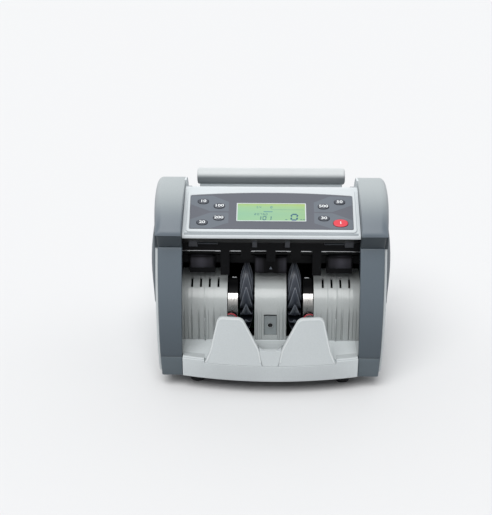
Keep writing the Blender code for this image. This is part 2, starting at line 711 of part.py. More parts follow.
def stacker_tray(material):
    rings = []
    for i in range(TRAY_STATIONS + 1):
        x = mix(-TRAY_HALF_WIDTH, TRAY_HALF_WIDTH, i / TRAY_STATIONS)
        front = lip_y(x)
        floor = TRAY_FLOOR_TOP
        under = floor - TRAY_THICKNESS
        rings.append([(x, front + LIP_DRAFT, LIP_BOTTOM), (x, front, floor),
                      (x, TRAY_BACK_Y, floor), (x, TRAY_BACK_Y, under),
                      (x, front + TRAY_THICKNESS, under),
                      (x, front + LIP_DRAFT + TRAY_THICKNESS, LIP_BOTTOM)])
    tray = loft("stacker_tray", rings, material)
    for side in (-1, 1):
        low, high = sorted((side * (TRAY_HALF_WIDTH - OVERRUN), side * WING_OUTER_X))
        wing = box(side_name("tray_wing", side),
                   (low, WING_FRONT_Y, TRAY_FLOOR_TOP - TRAY_THICKNESS + GAP),
                   (high, TRAY_BACK_Y - GAP, TRAY_FLOOR_TOP - GAP), None)
        fuse(tray, wing)
    return tray


def stop_heights():
    """Half outline of the stop as (x, height), from its middle outwards."""
    corner = STOP_CORNER
    soft = corner / 4
    return [(0, SADDLE_TOP), (STOP_SLOPE_INNER_X - corner, SADDLE_TOP),
            (STOP_SLOPE_INNER_X, SADDLE_TOP + soft),
            (STOP_TOP_INNER_X - corner, STOP_TOP - corner),
            (STOP_TOP_INNER_X - soft, STOP_TOP - soft), (STOP_TOP_INNER_X + corner, STOP_TOP),
            (STOP_TOP_OUTER_X - corner, STOP_TOP), (STOP_TOP_OUTER_X - soft, STOP_TOP - soft),
            (STOP_TOP_OUTER_X + soft, STOP_TOP - corner),
            (STOP_FOOT_OUTER_X, TRAY_FLOOR_TOP + GAP + STOP_SEAT)]


def stacker_stop(material):
    half = stop_heights()
    outline = [(-x, z) for x, z in reversed(half[1:])] + half
    foot_z = TRAY_FLOOR_TOP + GAP
    rings = []
    for x, top in outline:
        front = lip_y(x) + GAP
        lean = (top - foot_z) * STOP_LEAN_SHARE
        rings.append([(x, front, foot_z), (x, front + lean, top),
                      (x, front + lean + STOP_THICKNESS, top),
                      (x, front + STOP_THICKNESS, foot_z)])
    return loft("stacker_stop", rings, material)


def plate_profile(start_angle, setback, tail):
    """Curved sheet in the YZ plane, standing on the tray floor."""
    foot_z = TRAY_FLOOR_TOP + GAP
    outer, inner = [], []
    radius = PLATE_RADIUS - setback
    if tail:
        outer.append((PLATE_CENTRE_Y + tail, PLATE_CENTRE_Z + radius))
        inner.append((PLATE_CENTRE_Y + tail, PLATE_CENTRE_Z + radius - WALL))
    for i in range(PLATE_ARC_STEPS + 1):
        angle = mix(start_angle, math.pi, i / PLATE_ARC_STEPS)
        for line, reach in ((outer, radius), (inner, radius - WALL)):
            line.append((PLATE_CENTRE_Y + reach * math.cos(angle),
                         PLATE_CENTRE_Z + reach * math.sin(angle)))
    foot_y = PLATE_CENTRE_Y - radius - PLATE_FOOT_STEP
    outer.append((foot_y, foot_z))
    inner.append((foot_y + WALL, foot_z))
    return outer + inner[::-1]


def stacker_side_plate(side, material):
    low, high = sorted((side * SIDE_PLATE_INNER_X, side * SIDE_PLATE_OUTER_X))
    name = side_name("stacker_plate", side)
    plate = along_x(name, plate_profile(math.pi / 2, 0, PLATE_TAIL), low, high, material)
    top = PLATE_CENTRE_Z + PLATE_RADIUS
    for i in range(SLOT_COUNT):
        x = side * (SLOT_FIRST_X + i * SLOT_PITCH)
        slot = box(f"slot_{name}_{i}", (x - SLOT_WIDTH / 2, SLOT_FRONT_Y, PLATE_CENTRE_Z),
                   (x + SLOT_WIDTH / 2, SLOT_BACK_Y, top + OVERRUN), None)
        cut(plate, slot)
    foot_z = TRAY_FLOOR_TOP + GAP
    face_y = PLATE_CENTRE_Y - PLATE_RADIUS
    rib = box("rib_" + name, (side * RIB_X - RIB_WIDTH / 2, face_y - RIB_DEPTH, foot_z),
              (side * RIB_X + RIB_WIDTH / 2, face_y + WALL / 2, foot_z + RIB_HEIGHT), None)
    fuse(plate, rib)
    return plate


def stacker_centre_plate(material):
    plate = along_x("stacker_plate_centre", plate_profile(math.pi / 2, 0, PLATE_TAIL),
                    -CENTRE_PLATE_HALF, CENTRE_PLATE_HALF, material)
    face_y = PLATE_CENTRE_Y - PLATE_RADIUS
    window = box("sensor_window", (-SENSOR_HALF_WIDTH, face_y - OVERRUN, SENSOR_BOTTOM),
                 (SENSOR_HALF_WIDTH, face_y + OVERRUN, SENSOR_TOP), None)
    cut(plate, window)
    return plate


def stack_sensor(material):
    face_y = PLATE_CENTRE_Y - PLATE_RADIUS + SENSOR_SETBACK
    low = (-SENSOR_HALF_WIDTH + GAP, face_y, SENSOR_BOTTOM + GAP)
    high = (SENSOR_HALF_WIDTH - GAP, face_y + SENSOR_DEPTH, SENSOR_TOP - GAP)
    sensor = box("stack_sensor", low, high, material)
    centre_z = (SENSOR_BOTTOM + SENSOR_TOP) / 2
    rings = []
    for y, radius in ((face_y + LENS_RISE, LENS_RADIUS), (face_y, LENS_RADIUS),
                      (face_y - LENS_RISE, LENS_RADIUS / 2)):
        rings.append([(x, y, z) for x, z in circle(0, centre_z, radius, FOOT_SEGMENTS)])
    fuse(sensor, loft("sensor_lens", rings, None))
    return sensor


def sensor_bracket(side, material):
    low, high = sorted((side * BRACKET_INNER_X, side * BRACKET_OUTER_X))
    profile = plate_profile(BRACKET_START_ANGLE, BRACKET_SETBACK, 0)
    return along_x(side_name("sensor_bracket", side), profile, low, high, material)


def impeller(side, material):
    """Hub with swept fins whose tips narrow to a point; one closed body."""
    count = IMPELLER_FINS
    pitch = 2 * math.pi / count
    bore = SHAFT_RADIUS + GAP
    points, faces, index = [], [], {}

    def half_width(radius):
        share = (radius - IMPELLER_HUB_RADIUS) / (IMPELLER_TIP_RADIUS - IMPELLER_HUB_RADIUS)
        return mix(IMPELLER_HALF_WIDTH, IMPELLER_TIP_HALF_WIDTH, max(share, 0) ** 2)

    def add(key, radius, angle):
        for face_side in (-1, 1):
            index[key, face_side] = len(points)
            points.append((side * IMPELLER_X + face_side * half_width(radius),
                           IMPELLER_Y + radius * math.cos(angle),
                           IMPELLER_Z + radius * math.sin(angle)))

    for fin in range(count):
        for step in range(IMPELLER_FIN_STEPS + 1):
            share = step / IMPELLER_FIN_STEPS
            radius = mix(IMPELLER_HUB_RADIUS, IMPELLER_TIP_RADIUS, share)
            angle = fin * pitch - IMPELLER_SWEEP * share
            half_angle = IMPELLER_FIN_THICKNESS / 2 / radius
            add((fin, step, 0), radius, angle - half_angle)
            add((fin, step, 1), radius, angle + half_angle)
        for edge in (0, 1):
            half_angle = IMPELLER_FIN_THICKNESS / 2 / IMPELLER_HUB_RADIUS
            add((fin, "bore", edge), bore, fin * pitch + (2 * edge - 1) * half_angle)

    for fin in range(count):
        after = (fin + 1) % count
        hub = [(fin, 0, 0), (fin, 0, 1), (after, 0, 0)]
        ring = [(fin, "bore", 0), (fin, "bore", 1), (after, "bore", 0)]
        for i in range(2):
            for s in (-1, 1):
                faces.append([index[key, s] for key in (hub[i], hub[i + 1], ring[i + 1], ring[i])])
            faces.append([index[ring[i], -1], index[ring[i], 1],
                          index[ring[i + 1], 1], index[ring[i + 1], -1]])
        faces.append([index[hub[1], -1], index[hub[1], 1], index[hub[2], 1], index[hub[2], -1]])
        for step in range(IMPELLER_FIN_STEPS):
            for s in (-1, 1):
                faces.append([index[(fin, step, 0), s], index[(fin, step + 1, 0), s],
                              index[(fin, step + 1, 1), s], index[(fin, step, 1), s]])
            for edge in (0, 1):
                faces.append([index[(fin, step, edge), -1], index[(fin, step + 1, edge), -1],
                              index[(fin, step + 1, edge), 1], index[(fin, step, edge), 1]])
        tip = IMPELLER_FIN_STEPS
        faces.append([index[(fin, tip, 0), -1], index[(fin, tip, 1), -1],
                      index[(fin, tip, 1), 1], index[(fin, tip, 0), 1]])
    wheel = make_object(side_name("impeller", side), points, faces, material)
    set_origin(wheel, (side * IMPELLER_X, IMPELLER_Y, IMPELLER_Z))
    return wheel


# Mechanism

def pulley_shaft(name, y, z, pulley_radius, rollers, material):
    """A shaft with its pulley at the left end and any rollers turned on it."""
    steps = [(-PULLEY_OUTER_X, pulley_radius), (-PULLEY_INNER_X, pulley_radius),
             (-PULLEY_INNER_X, SHAFT_RADIUS)]
    for low, high, radius in rollers:
        steps += [(low, SHAFT_RADIUS), (low, radius), (high, radius), (high, SHAFT_RADIUS)]
    steps.append((SHAFT_END_X, SHAFT_RADIUS))
    shaft = turned_x(name, steps, y, z, material)
    set_origin(shaft, (0, y, z))
    return shaft


def transport_rollers():
    half = TRANSPORT_ROLLER_HALF_WIDTH
    centres = (-TRANSPORT_ROLLER_X, TRANSPORT_ROLLER_X)
    return [(x - half, x + half, TRANSPORT_ROLLER_RADIUS) for x in centres]


def feed_roller(side, material):
    """Rubber tyre on the feed shaft."""
    name = side_name("feed_roller", side)
    low = side * FEED_ROLLER_X - FEED_ROLLER_HALF_WIDTH
    high = side * FEED_ROLLER_X + FEED_ROLLER_HALF_WIDTH
    steps = [(low, FEED_ROLLER_RADIUS), (high, FEED_ROLLER_RADIUS)]
    roller = turned_x(name, steps, FEED_Y, FEED_Z, material)
    bore_steps = [(low - OVERRUN, SHAFT_RADIUS + GAP), (high + OVERRUN, SHAFT_RADIUS + GAP)]
    cut(roller, turned_x("bore_" + name, bore_steps, FEED_Y, FEED_Z, None))
    return roller


def main_motor(material):
    high = -FRAME_INNER_X + GAP
    steps = [(high, MOTOR_RADIUS), (high + MOTOR_LENGTH, MOTOR_RADIUS)]
    motor = turned_x("main_motor", steps, MOTOR_Y, MOTOR_Z, material)
    bore_steps = [(high - OVERRUN, MOTOR_SHAFT_RADIUS + GAP),
                  (high + OVERRUN, MOTOR_SHAFT_RADIUS + GAP)]
    cut(motor, turned_x("motor_bore", bore_steps, MOTOR_Y, MOTOR_Z, None))
    return motor


def motor_pulley(material):
    steps = [(-PULLEY_OUTER_X, MOTOR_PULLEY_RADIUS), (-PULLEY_INNER_X, MOTOR_PULLEY_RADIUS),
             (-PULLEY_INNER_X, MOTOR_SHAFT_RADIUS),
             (-FRAME_INNER_X + OVERRUN / 2, MOTOR_SHAFT_RADIUS)]
    pulley = turned_x("motor_pulley", steps, MOTOR_Y, MOTOR_Z, material)
    set_origin(pulley, (-PULLEY_INNER_X, MOTOR_Y, MOTOR_Z))
    return pulley


def drive_belt(material):
    """Loop round all four pulleys; each direction touches the pulley that reaches furthest."""
    pulleys = ((MOTOR_Y, MOTOR_Z, MOTOR_PULLEY_RADIUS), (FEED_Y, FEED_Z, FEED_PULLEY_RADIUS),
               (TRANSPORT_Y, TRANSPORT_Z, TRANSPORT_PULLEY_RADIUS),
               (IMPELLER_Y, IMPELLER_Z, IMPELLER_PULLEY_RADIUS))
    low, high = -PULLEY_OUTER_X + BELT_MARGIN, -PULLEY_INNER_X - BELT_MARGIN
    points, faces = [], []
    for i in range(BELT_STEPS):
        angle = 2 * math.pi * i / BELT_STEPS
        across, up = math.cos(angle), math.sin(angle)
        y, z, radius = max(pulleys, key=lambda p: p[0] * across + p[1] * up + p[2])
        for reach in (radius + GAP, radius + GAP + BELT_THICKNESS):
            for x in (low, high):
                points.append((x, y + reach * across, z + reach * up))
    for i in range(BELT_STEPS):
        here, after = 4 * i, 4 * ((i + 1) % BELT_STEPS)
        for a, b in ((0, 1), (1, 3), (3, 2), (2, 0)):
            faces.append([here + a, here + b, after + b, after + a])
    return make_object("drive_belt", points, faces, material)


def side_frame(side, material):
    """Steel plate with its rear upper corner cut off and holes for the shafts."""
    name = side_name("side_frame", side)
    foot_z = BASE_BOTTOM + PAN_FLOOR + GAP
    profile = [(FRAME_FRONT_Y, foot_z), (FRAME_BACK_Y, foot_z),
               (FRAME_BACK_Y, FRAME_TOP - FRAME_CUT), (FRAME_BACK_Y - FRAME_CUT, FRAME_TOP),
               (FRAME_FRONT_Y, FRAME_TOP)]
    low, high = sorted((side * FRAME_INNER_X, side * (FRAME_INNER_X + FRAME_THICKNESS)))
    frame = along_x(name, profile, low, high, material)
    holes = [(IMPELLER_Y, IMPELLER_Z), (FEED_Y, FEED_Z), (TRANSPORT_Y, TRANSPORT_Z)]
    if side < 0:
        holes.append((MOTOR_Y, MOTOR_Z))
    for i, (y, z) in enumerate(holes):
        steps = [(low - OVERRUN, SHAFT_RADIUS + SHAFT_HOLE_GAP),
                 (high + OVERRUN, SHAFT_RADIUS + SHAFT_HOLE_GAP)]
        cut(frame, turned_x(f"hole_{name}_{i}", steps, y, z, None))
    return frame


def upper_note_guide(material):
    """Black beam under the panel with five fins hanging from its front."""
    guide = box("upper_note_guide", (-GUIDE_HALF_WIDTH, UPPER_BEAM_FRONT_Y, UPPER_BEAM_BOTTOM),
                (GUIDE_HALF_WIDTH, UPPER_BEAM_BACK_Y, UPPER_BEAM_TOP), material)
    fins = [(0, FIN_CENTRE_WIDTH, FIN_CENTRE_DROP)]
    for side in (-1, 1):
        fins.append((side * FIN_MIDDLE_X, FIN_MIDDLE_WIDTH, FIN_MIDDLE_DROP))
        fins.append((side * FIN_OUTER_X, FIN_OUTER_WIDTH, FIN_OUTER_DROP))
    for i, (x, width, drop) in enumerate(fins):
        low = (x - width / 2, UPPER_BEAM_FRONT_Y, UPPER_BEAM_BOTTOM - drop)
        high = (x + width / 2, UPPER_BEAM_FRONT_Y + FIN_DEPTH, UPPER_BEAM_BOTTOM + OVERRUN)
        fuse(guide, box(f"guide_fin_{i}", low, high, None))
    return guide


def lower_note_guide(material):
    """Black beam behind the fins with three blocks on it, clear of the impellers."""
    guide = box("lower_note_guide", (-GUIDE_HALF_WIDTH, LOWER_BEAM_FRONT_Y, LOWER_BEAM_BOTTOM),
                (GUIDE_HALF_WIDTH, LOWER_BEAM_BACK_Y, LOWER_BEAM_TOP), material)
    spans = [(-CENTRE_BLOCK_HALF, CENTRE_BLOCK_HALF), (-SIDE_BLOCK_OUTER_X, -SIDE_BLOCK_INNER_X),
             (SIDE_BLOCK_INNER_X, SIDE_BLOCK_OUTER_X)]
    for i, (low_x, high_x) in enumerate(spans):
        block = box(f"guide_block_{i}", (low_x, BLOCK_FRONT_Y, BLOCK_BOTTOM),
                    (high_x, LOWER_BEAM_FRONT_Y + OVERRUN, LOWER_BEAM_TOP - GAP), None)
        fuse(guide, block)
    return guide


def guide_rod(material):
    steps = [(-GUIDE_HALF_WIDTH, ROD_RADIUS), (GUIDE_HALF_WIDTH, ROD_RADIUS)]
    return turned_x("guide_rod", steps, ROD_Y, ROD_Z, material)


# Control panel

def on_panel(x, s, h):
    """A point on the panel's slope: across, up the slope and off its surface."""
    return (x, NOSE_Y + s * math.cos(SLOPE) - h * math.sin(SLOPE),
            NOSE_Z + s * math.sin(SLOPE) + h * math.cos(SLOPE))


def panel_prism(name, outline, low, high, material):
    """An outline of (x, s) points between two heights off the slope."""
    return loft(name, [[on_panel(x, s, h) for x, s in outline] for h in (low, high)], material)


def rectangle(half_width, bottom, top):
    return [(-half_width, bottom), (half_width, bottom), (half_width, top), (-half_width, top)]


def overlay_outline(spread):
    """Overlay outline with its bowed top edge, grown by spread."""
    half_top = OVERLAY_HALF_TOP + spread
    outline = [(-OVERLAY_HALF_BOTTOM - spread, OVERLAY_BOTTOM_S - spread),
               (OVERLAY_HALF_BOTTOM + spread, OVERLAY_BOTTOM_S - spread)]
    for i in range(OVERLAY_STEPS + 1):
        x = mix(half_top, -half_top, i / OVERLAY_STEPS)
        crown = OVERLAY_CROWN * (1 - (x / half_top) ** 2)
        outline.append((x, OVERLAY_SIDE_S + spread + crown))
    return outline


def oval(x, s, half_length, half_height):
    turns = [2 * math.pi * i / KEY_SEGMENTS for i in range(KEY_SEGMENTS)]
    return [(x + half_length * math.cos(a), s + half_height * math.sin(a)) for a in turns]


def key_places():
    """Name, place and half sizes of each key."""
    small = (KEY_HALF_LENGTH, KEY_HALF_HEIGHT)
    start = (START_KEY_HALF_LENGTH, START_KEY_HALF_HEIGHT)
    return [("key_1", -KEY_OUTER_X, KEY_OUTER_TOP_S, small),
            ("key_2", -KEY_INNER_X, KEY_INNER_TOP_S, small),
            ("key_3", -KEY_INNER_X, KEY_INNER_BOTTOM_S, small),
            ("key_4", -KEY_OUTER_X, KEY_OUTER_BOTTOM_S, small),
            ("key_5", KEY_INNER_X, KEY_INNER_TOP_S, small),
            ("key_6", KEY_OUTER_X, KEY_OUTER_TOP_S, small),
            ("key_7", KEY_INNER_X, KEY_INNER_BOTTOM_S, small),
            ("key_start", KEY_OUTER_X, KEY_OUTER_BOTTOM_S, start)]


def key_hole(name, x, s, halves):
    outline = oval(x, s, halves[0] + KEY_CLEARANCE, halves[1] + KEY_CLEARANCE)
    return panel_prism(name, outline, -OVERRUN, PLATFORM_TOP + OVERRUN, None)


def front_cover(material):
    """Open-backed housing: nose, slope and rear wall, with a raised platform."""
    wall = COVER_WALL
    top_y, top_z = on_panel(0, COVER_TOP_S, COVER_SURFACE)[1:]
    under_y, under_z = on_panel(0, COVER_TOP_S - wall, COVER_SURFACE - wall)[1:]
    outer = [on_panel(0, 0, 0)[1:], on_panel(0, COVER_NOSE_RUN / 4, COVER_SURFACE / 2)[1:],
             on_panel(0, COVER_NOSE_RUN, COVER_SURFACE)[1:], (top_y, top_z),
             (COVER_REAR_Y, top_z - wall / 2), (COVER_REAR_Y, COVER_REAR_FOOT)]
    inner = [(COVER_REAR_Y - wall, COVER_REAR_FOOT), (COVER_REAR_Y - wall, under_z),
             (under_y, under_z),
             on_panel(0, COVER_NOSE_RUN + wall, COVER_SURFACE - wall)[1:],
             on_panel(0, wall, 0)[1:]]
    cover = along_x("front_cover", outer + inner, -INNER_HALF_WIDTH, INNER_HALF_WIDTH, material)
    platform = rectangle(PLATFORM_HALF_WIDTH, PLATFORM_BOTTOM_S, PLATFORM_TOP_S)
    fuse(cover, panel_prism("platform", platform, COVER_SURFACE - wall / 2, PLATFORM_TOP, None))
    cut(cover, panel_prism("overlay_recess", overlay_outline(GAP), RECESS_FLOOR,
                           PLATFORM_TOP + OVERRUN, None))
    window = rectangle(DISPLAY_HALF_WIDTH - DISPLAY_LEDGE, DISPLAY_BOTTOM_S + DISPLAY_LEDGE,
                       DISPLAY_TOP_S - DISPLAY_LEDGE)
    cut(cover, panel_prism("display_hole", window, -OVERRUN, PLATFORM_TOP + OVERRUN, None))
    for name, x, s, halves in key_places():
        cut(cover, key_hole("cover_hole_" + name, x, s, halves))
    return cover


def control_overlay(material):
    low = RECESS_FLOOR + GAP
    overlay = panel_prism("control_overlay", overlay_outline(0), low, low + OVERLAY_THICKNESS,
                          material)
    window = rectangle(DISPLAY_HALF_WIDTH + GAP, DISPLAY_BOTTOM_S - GAP, DISPLAY_TOP_S + GAP)
    cut(overlay, panel_prism("overlay_window", window, 0, PLATFORM_TOP + OVERRUN, None))
    for name, x, s, halves in key_places():
        cut(overlay, key_hole("overlay_hole_" + name, x, s, halves))
    return overlay


def display_window(material):
    outline = rectangle(DISPLAY_HALF_WIDTH, DISPLAY_BOTTOM_S, DISPLAY_TOP_S)
    low = RECESS_FLOOR + GAP
    return panel_prism("display_window", outline, low, low + DISPLAY_THICKNESS, material)


def key(name, x, s, halves, material):
    """An oval key cap with a softened top edge."""
    low = BOARD_TOP_H + KEY_FOOT
    top = RECESS_FLOOR + GAP + OVERLAY_THICKNESS + KEY_RISE
    soft = KEY_RISE / 2
    rings = []
    for h, inset in ((low, 0), (top - soft, 0), (top, soft)):
        outline = oval(x, s, halves[0] - inset, halves[1] - inset)
        rings.append([on_panel(px, ps, h) for px, ps in outline])
    cap = loft(name, rings, material)
    set_origin(cap, on_panel(x, s, top))
    return cap


def control_board(material):
    """Circuit board under the cover, carrying the display."""
    outline = rectangle(BOARD_HALF_WIDTH, BOARD_BOTTOM_S, BOARD_TOP_S)
    return panel_prism("control_board", outline, BOARD_TOP_H - BOARD_THICKNESS, BOARD_TOP_H,
                       material)


# Hopper

def hopper_frame():
    """Front end, run direction and normal of the hopper plate's top face."""
    front = Vector((HOPPER_FRONT_Y, HOPPER_FRONT_Z))
    run = Vector((HOPPER_REAR_Y, HOPPER_REAR_Z)) - front
    normal = Vector((-run.y, run.x)).normalized()
    return front, run, normal


def hopper_strip(low_share, high_share, low_lift, high_lift):
    """Parallelogram on the hopper's slope as (y, z) points."""
    front, run, normal = hopper_frame()
    corners = ((low_share, low_lift), (high_share, low_lift), (high_share, high_lift),
               (low_share, high_lift))
    return [tuple(front + run * share + normal * lift) for share, lift in corners]


def hopper_plate(material):
    plate = along_x("hopper_plate", hopper_strip(0, 1, -WALL, 0), -HOPPER_HALF_WIDTH,
                    HOPPER_HALF_WIDTH, material)
    reach = FEED_ROLLER_RADIUS + ROLLER_SLOT_GAP
    half = FEED_ROLLER_HALF_WIDTH + ROLLER_SLOT_GAP
    for side in (-1, 1):
        x = side * FEED_ROLLER_X
        slot = turned_x(side_name("roller_slot", side), [(x - half, reach), (x + half, reach)],
                        FEED_Y, FEED_Z, None)
        cut(plate, slot)
    return plate


def hopper_guide(side, material):
    """Side guide standing on the hopper plate."""
    low, high = sorted((side * GUIDE_X, side * (GUIDE_X + GUIDE_THICKNESS)))
    profile = hopper_strip(GUIDE_FRONT_SHARE, GUIDE_BACK_SHARE, GAP, GUIDE_HEIGHT)
    return along_x(side_name("hopper_guide", side), profile, low, high, material)


def hopper_back_support(material):
    """Rolled bar with rounded ends, on a stem that stands on the rear deck."""
    rings = []
    straight = ROLL_HALF_WIDTH - ROLL_CORNER
    stations = []
    for i in range(ROLL_END_STEPS + 1):
        angle = math.pi / 2 * (1 - i / (ROLL_END_STEPS + 1))
        stations.append((straight + ROLL_CORNER * math.sin(angle),
                         ROLL_RADIUS - ROLL_CORNER * (1 - math.cos(angle))))
    stations.append((straight, ROLL_RADIUS))
    line = [(-x, r) for x, r in stations] + [(x, r) for x, r in reversed(stations)]
    for x, radius in line:
        ring = circle(ROLL_Y, ROLL_Z, radius, ROLL_SEGMENTS)
        rings.append([(x, y, z) for y, z in ring])
    roll = loft("hopper_back_support", rings, material)
    stem = box("support_stem", (-STEM_HALF_WIDTH, ROLL_Y - STEM_THICKNESS / 2,
                                DECK_TOP_Z + GAP),
               (STEM_HALF_WIDTH, ROLL_Y + STEM_THICKNESS / 2, ROLL_Z), None)
    fuse(roll, stem)
    return roll


# Rear

def rear_cover(material):
    """Rear wall with a deck behind the hopper, vents and two cut-outs."""
    cover = box("rear_cover", (-REAR_HALF_WIDTH, REAR_WALL_Y, REAR_BOTTOM),
                (REAR_HALF_WIDTH, BACK_Y, DECK_TOP_Z), material)
    shelf = box("rear_shelf", (-REAR_HALF_WIDTH, HOOD_REAR_Y + GAP, DECK_TOP_Z - WALL),
                (REAR_HALF_WIDTH, REAR_WALL_Y + WALL, DECK_TOP_Z), None)
    fuse(cover, shelf)
    deck = box("rear_deck", (-DECK_HALF_WIDTH, DECK_FRONT_Y, DECK_TOP_Z - WALL),
               (DECK_HALF_WIDTH, HOOD_REAR_Y + WALL, DECK_TOP_Z), None)
    fuse(cover, deck)
    for row in range(VENT_COUNT):
        z = VENT_FIRST_Z + row * VENT_PITCH
        for side in (-1, 1):
            x = side * VENT_X
            vent = box(f"vent_{row}_{side_name('slot', side)}",
                       (x - VENT_WIDTH / 2, REAR_WALL_Y - OVERRUN, z),
                       (x + VENT_WIDTH / 2, BACK_Y + OVERRUN, z + VENT_HEIGHT), None)
            cut(cover, vent)
    holes = ((INLET_X, INLET_HALF_WIDTH + GAP, INLET_HALF_HEIGHT + GAP),
             (SWITCH_X, SWITCH_HALF_WIDTH + GAP, SWITCH_HALF_HEIGHT + SWITCH_CLEARANCE))
    for i, (x, half_width, half_height) in enumerate(holes):
        cut(cover, box(f"rear_hole_{i}",
                       (x - half_width, REAR_WALL_Y - OVERRUN, INLET_Z - half_height),
                       (x + half_width, BACK_Y + OVERRUN, INLET_Z + half_height), None))
    return cover


def power_inlet(material):
    """Socket body with its cavity and three pins, set flush in the rear wall."""
    face = BACK_Y
    body = box("power_inlet", (INLET_X - INLET_HALF_WIDTH, face - INLET_DEPTH,
                               INLET_Z - INLET_HALF_HEIGHT),
               (INLET_X + INLET_HALF_WIDTH, face, INLET_Z + INLET_HALF_HEIGHT), material)
    wall = INLET_WALL
    cavity = box("inlet_cavity", (INLET_X - INLET_HALF_WIDTH + wall, face - INLET_CAVITY_DEPTH,
                                  INLET_Z - INLET_HALF_HEIGHT + wall),
                 (INLET_X + INLET_HALF_WIDTH - wall, face + OVERRUN,
                  INLET_Z + INLET_HALF_HEIGHT - wall), None)
    cut(body, cavity)
    floor = face - INLET_CAVITY_DEPTH
    for i, (across, up) in enumerate(((-PIN_SPREAD, -PIN_RAISE), (0, PIN_RAISE),
                                      (PIN_SPREAD, -PIN_RAISE))):
        pin = box(f"inlet_pin_{i}", (INLET_X + across - PIN_HALF_WIDTH, floor - wall,
                                     INLET_Z + up - PIN_HALF_HEIGHT),
                  (INLET_X + across + PIN_HALF_WIDTH, floor + PIN_LENGTH,
                   INLET_Z + up + PIN_HALF_HEIGHT), None)
        fuse(body, pin)
    return body


def power_switch(material):
    """Rocker with a shallow V face, at rest with its upper end pressed in."""
    pivot_y = BACK_Y - SWITCH_DEPTH / 2
    profile = [(BACK_Y - SWITCH_DEPTH, INLET_Z - SWITCH_HALF_HEIGHT / 2),
               (BACK_Y - SWITCH_DEPTH, INLET_Z + SWITCH_HALF_HEIGHT / 2),
               (BACK_Y - SWITCH_CROWN, INLET_Z + SWITCH_HALF_HEIGHT),
               (BACK_Y - 2 * SWITCH_CROWN, INLET_Z),
               (BACK_Y - SWITCH_CROWN, INLET_Z - SWITCH_HALF_HEIGHT)]
    across, up = math.cos(SWITCH_TILT), math.sin(SWITCH_TILT)
    tilted = [(pivot_y + (y - pivot_y) * across - (z - INLET_Z) * up,
               INLET_Z + (y - pivot_y) * up + (z - INLET_Z) * across) for y, z in profile]
    rocker = along_x("power_switch", tilted, SWITCH_X - SWITCH_HALF_WIDTH,
                     SWITCH_X + SWITCH_HALF_WIDTH, material)
    set_origin(rocker, (SWITCH_X, pivot_y, INLET_Z))
    return rocker


def gap_knob(material):
    """Fluted knob on the rear deck that sets the feed gap."""
    count = KNOB_FLUTES * 4
    low = DECK_TOP_Z + GAP
    rings = []
    for z, inset in ((low, 0), (low + KNOB_HEIGHT - KNOB_FLUTE_DEPTH, 0),
                     (low + KNOB_HEIGHT, KNOB_FLUTE_DEPTH)):
        ring = []
        for i in range(count):
            angle = 2 * math.pi * i / count
            flute = KNOB_FLUTE_DEPTH * math.cos(angle * KNOB_FLUTES)
            radius = KNOB_RADIUS - KNOB_FLUTE_DEPTH + flute - inset
            ring.append((radius * math.cos(angle), KNOB_Y + radius * math.sin(angle), z))
        rings.append(ring)
    knob = loft("gap_knob", rings, material)
    set_origin(knob, (0, KNOB_Y, low))
    return knob


# Electronics

def main_board(material):
    """Circuit board on four posts, with one large chip."""
    floor = BASE_BOTTOM + PAN_FLOOR + GAP
    low_z = floor + MAIN_BOARD_LIFT
    high_z = low_z + MAIN_BOARD_THICKNESS
    board = box("main_board", (MAIN_BOARD_LOW_X, MAIN_BOARD_LOW_Y, low_z),
                (MAIN_BOARD_HIGH_X, MAIN_BOARD_HIGH_Y, high_z), material)
    for i, x in enumerate((MAIN_BOARD_LOW_X + POST_INSET, MAIN_BOARD_HIGH_X - POST_INSET)):
        for j, y in enumerate((MAIN_BOARD_LOW_Y + POST_INSET, MAIN_BOARD_HIGH_Y - POST_INSET)):
            post = box(f"post_{i}_{j}", (x - POST_RADIUS, y - POST_RADIUS, floor),
                       (x + POST_RADIUS, y + POST_RADIUS, low_z + MAIN_BOARD_THICKNESS / 2), None)
            fuse(board, post)
    x = (MAIN_BOARD_LOW_X + MAIN_BOARD_HIGH_X) / 2
    y = (MAIN_BOARD_LOW_Y + MAIN_BOARD_HIGH_Y) / 2
    half = CHIP_SIZE / 2
    fuse(board, box("board_chip", (x - half, y - half, low_z + MAIN_BOARD_THICKNESS / 2),
                    (x + half, y + half, high_z + CHIP_HEIGHT), None))
    return board


def transformer(material):
    floor = BASE_BOTTOM + PAN_FLOOR + GAP
    block = box("transformer", (TRANSFORMER_LOW_X, TRANSFORMER_LOW_Y, floor),
                (TRANSFORMER_HIGH_X, TRANSFORMER_HIGH_Y, floor + TRANSFORMER_HEIGHT), material)
    edge = block.modifiers.new("edges", "BEVEL")
    edge.width = TRANSFORMER_BEVEL
    return block


def clear_scene():
    for thing in list(bpy.data.objects):
        bpy.data.objects.remove(thing, do_unlink=True)


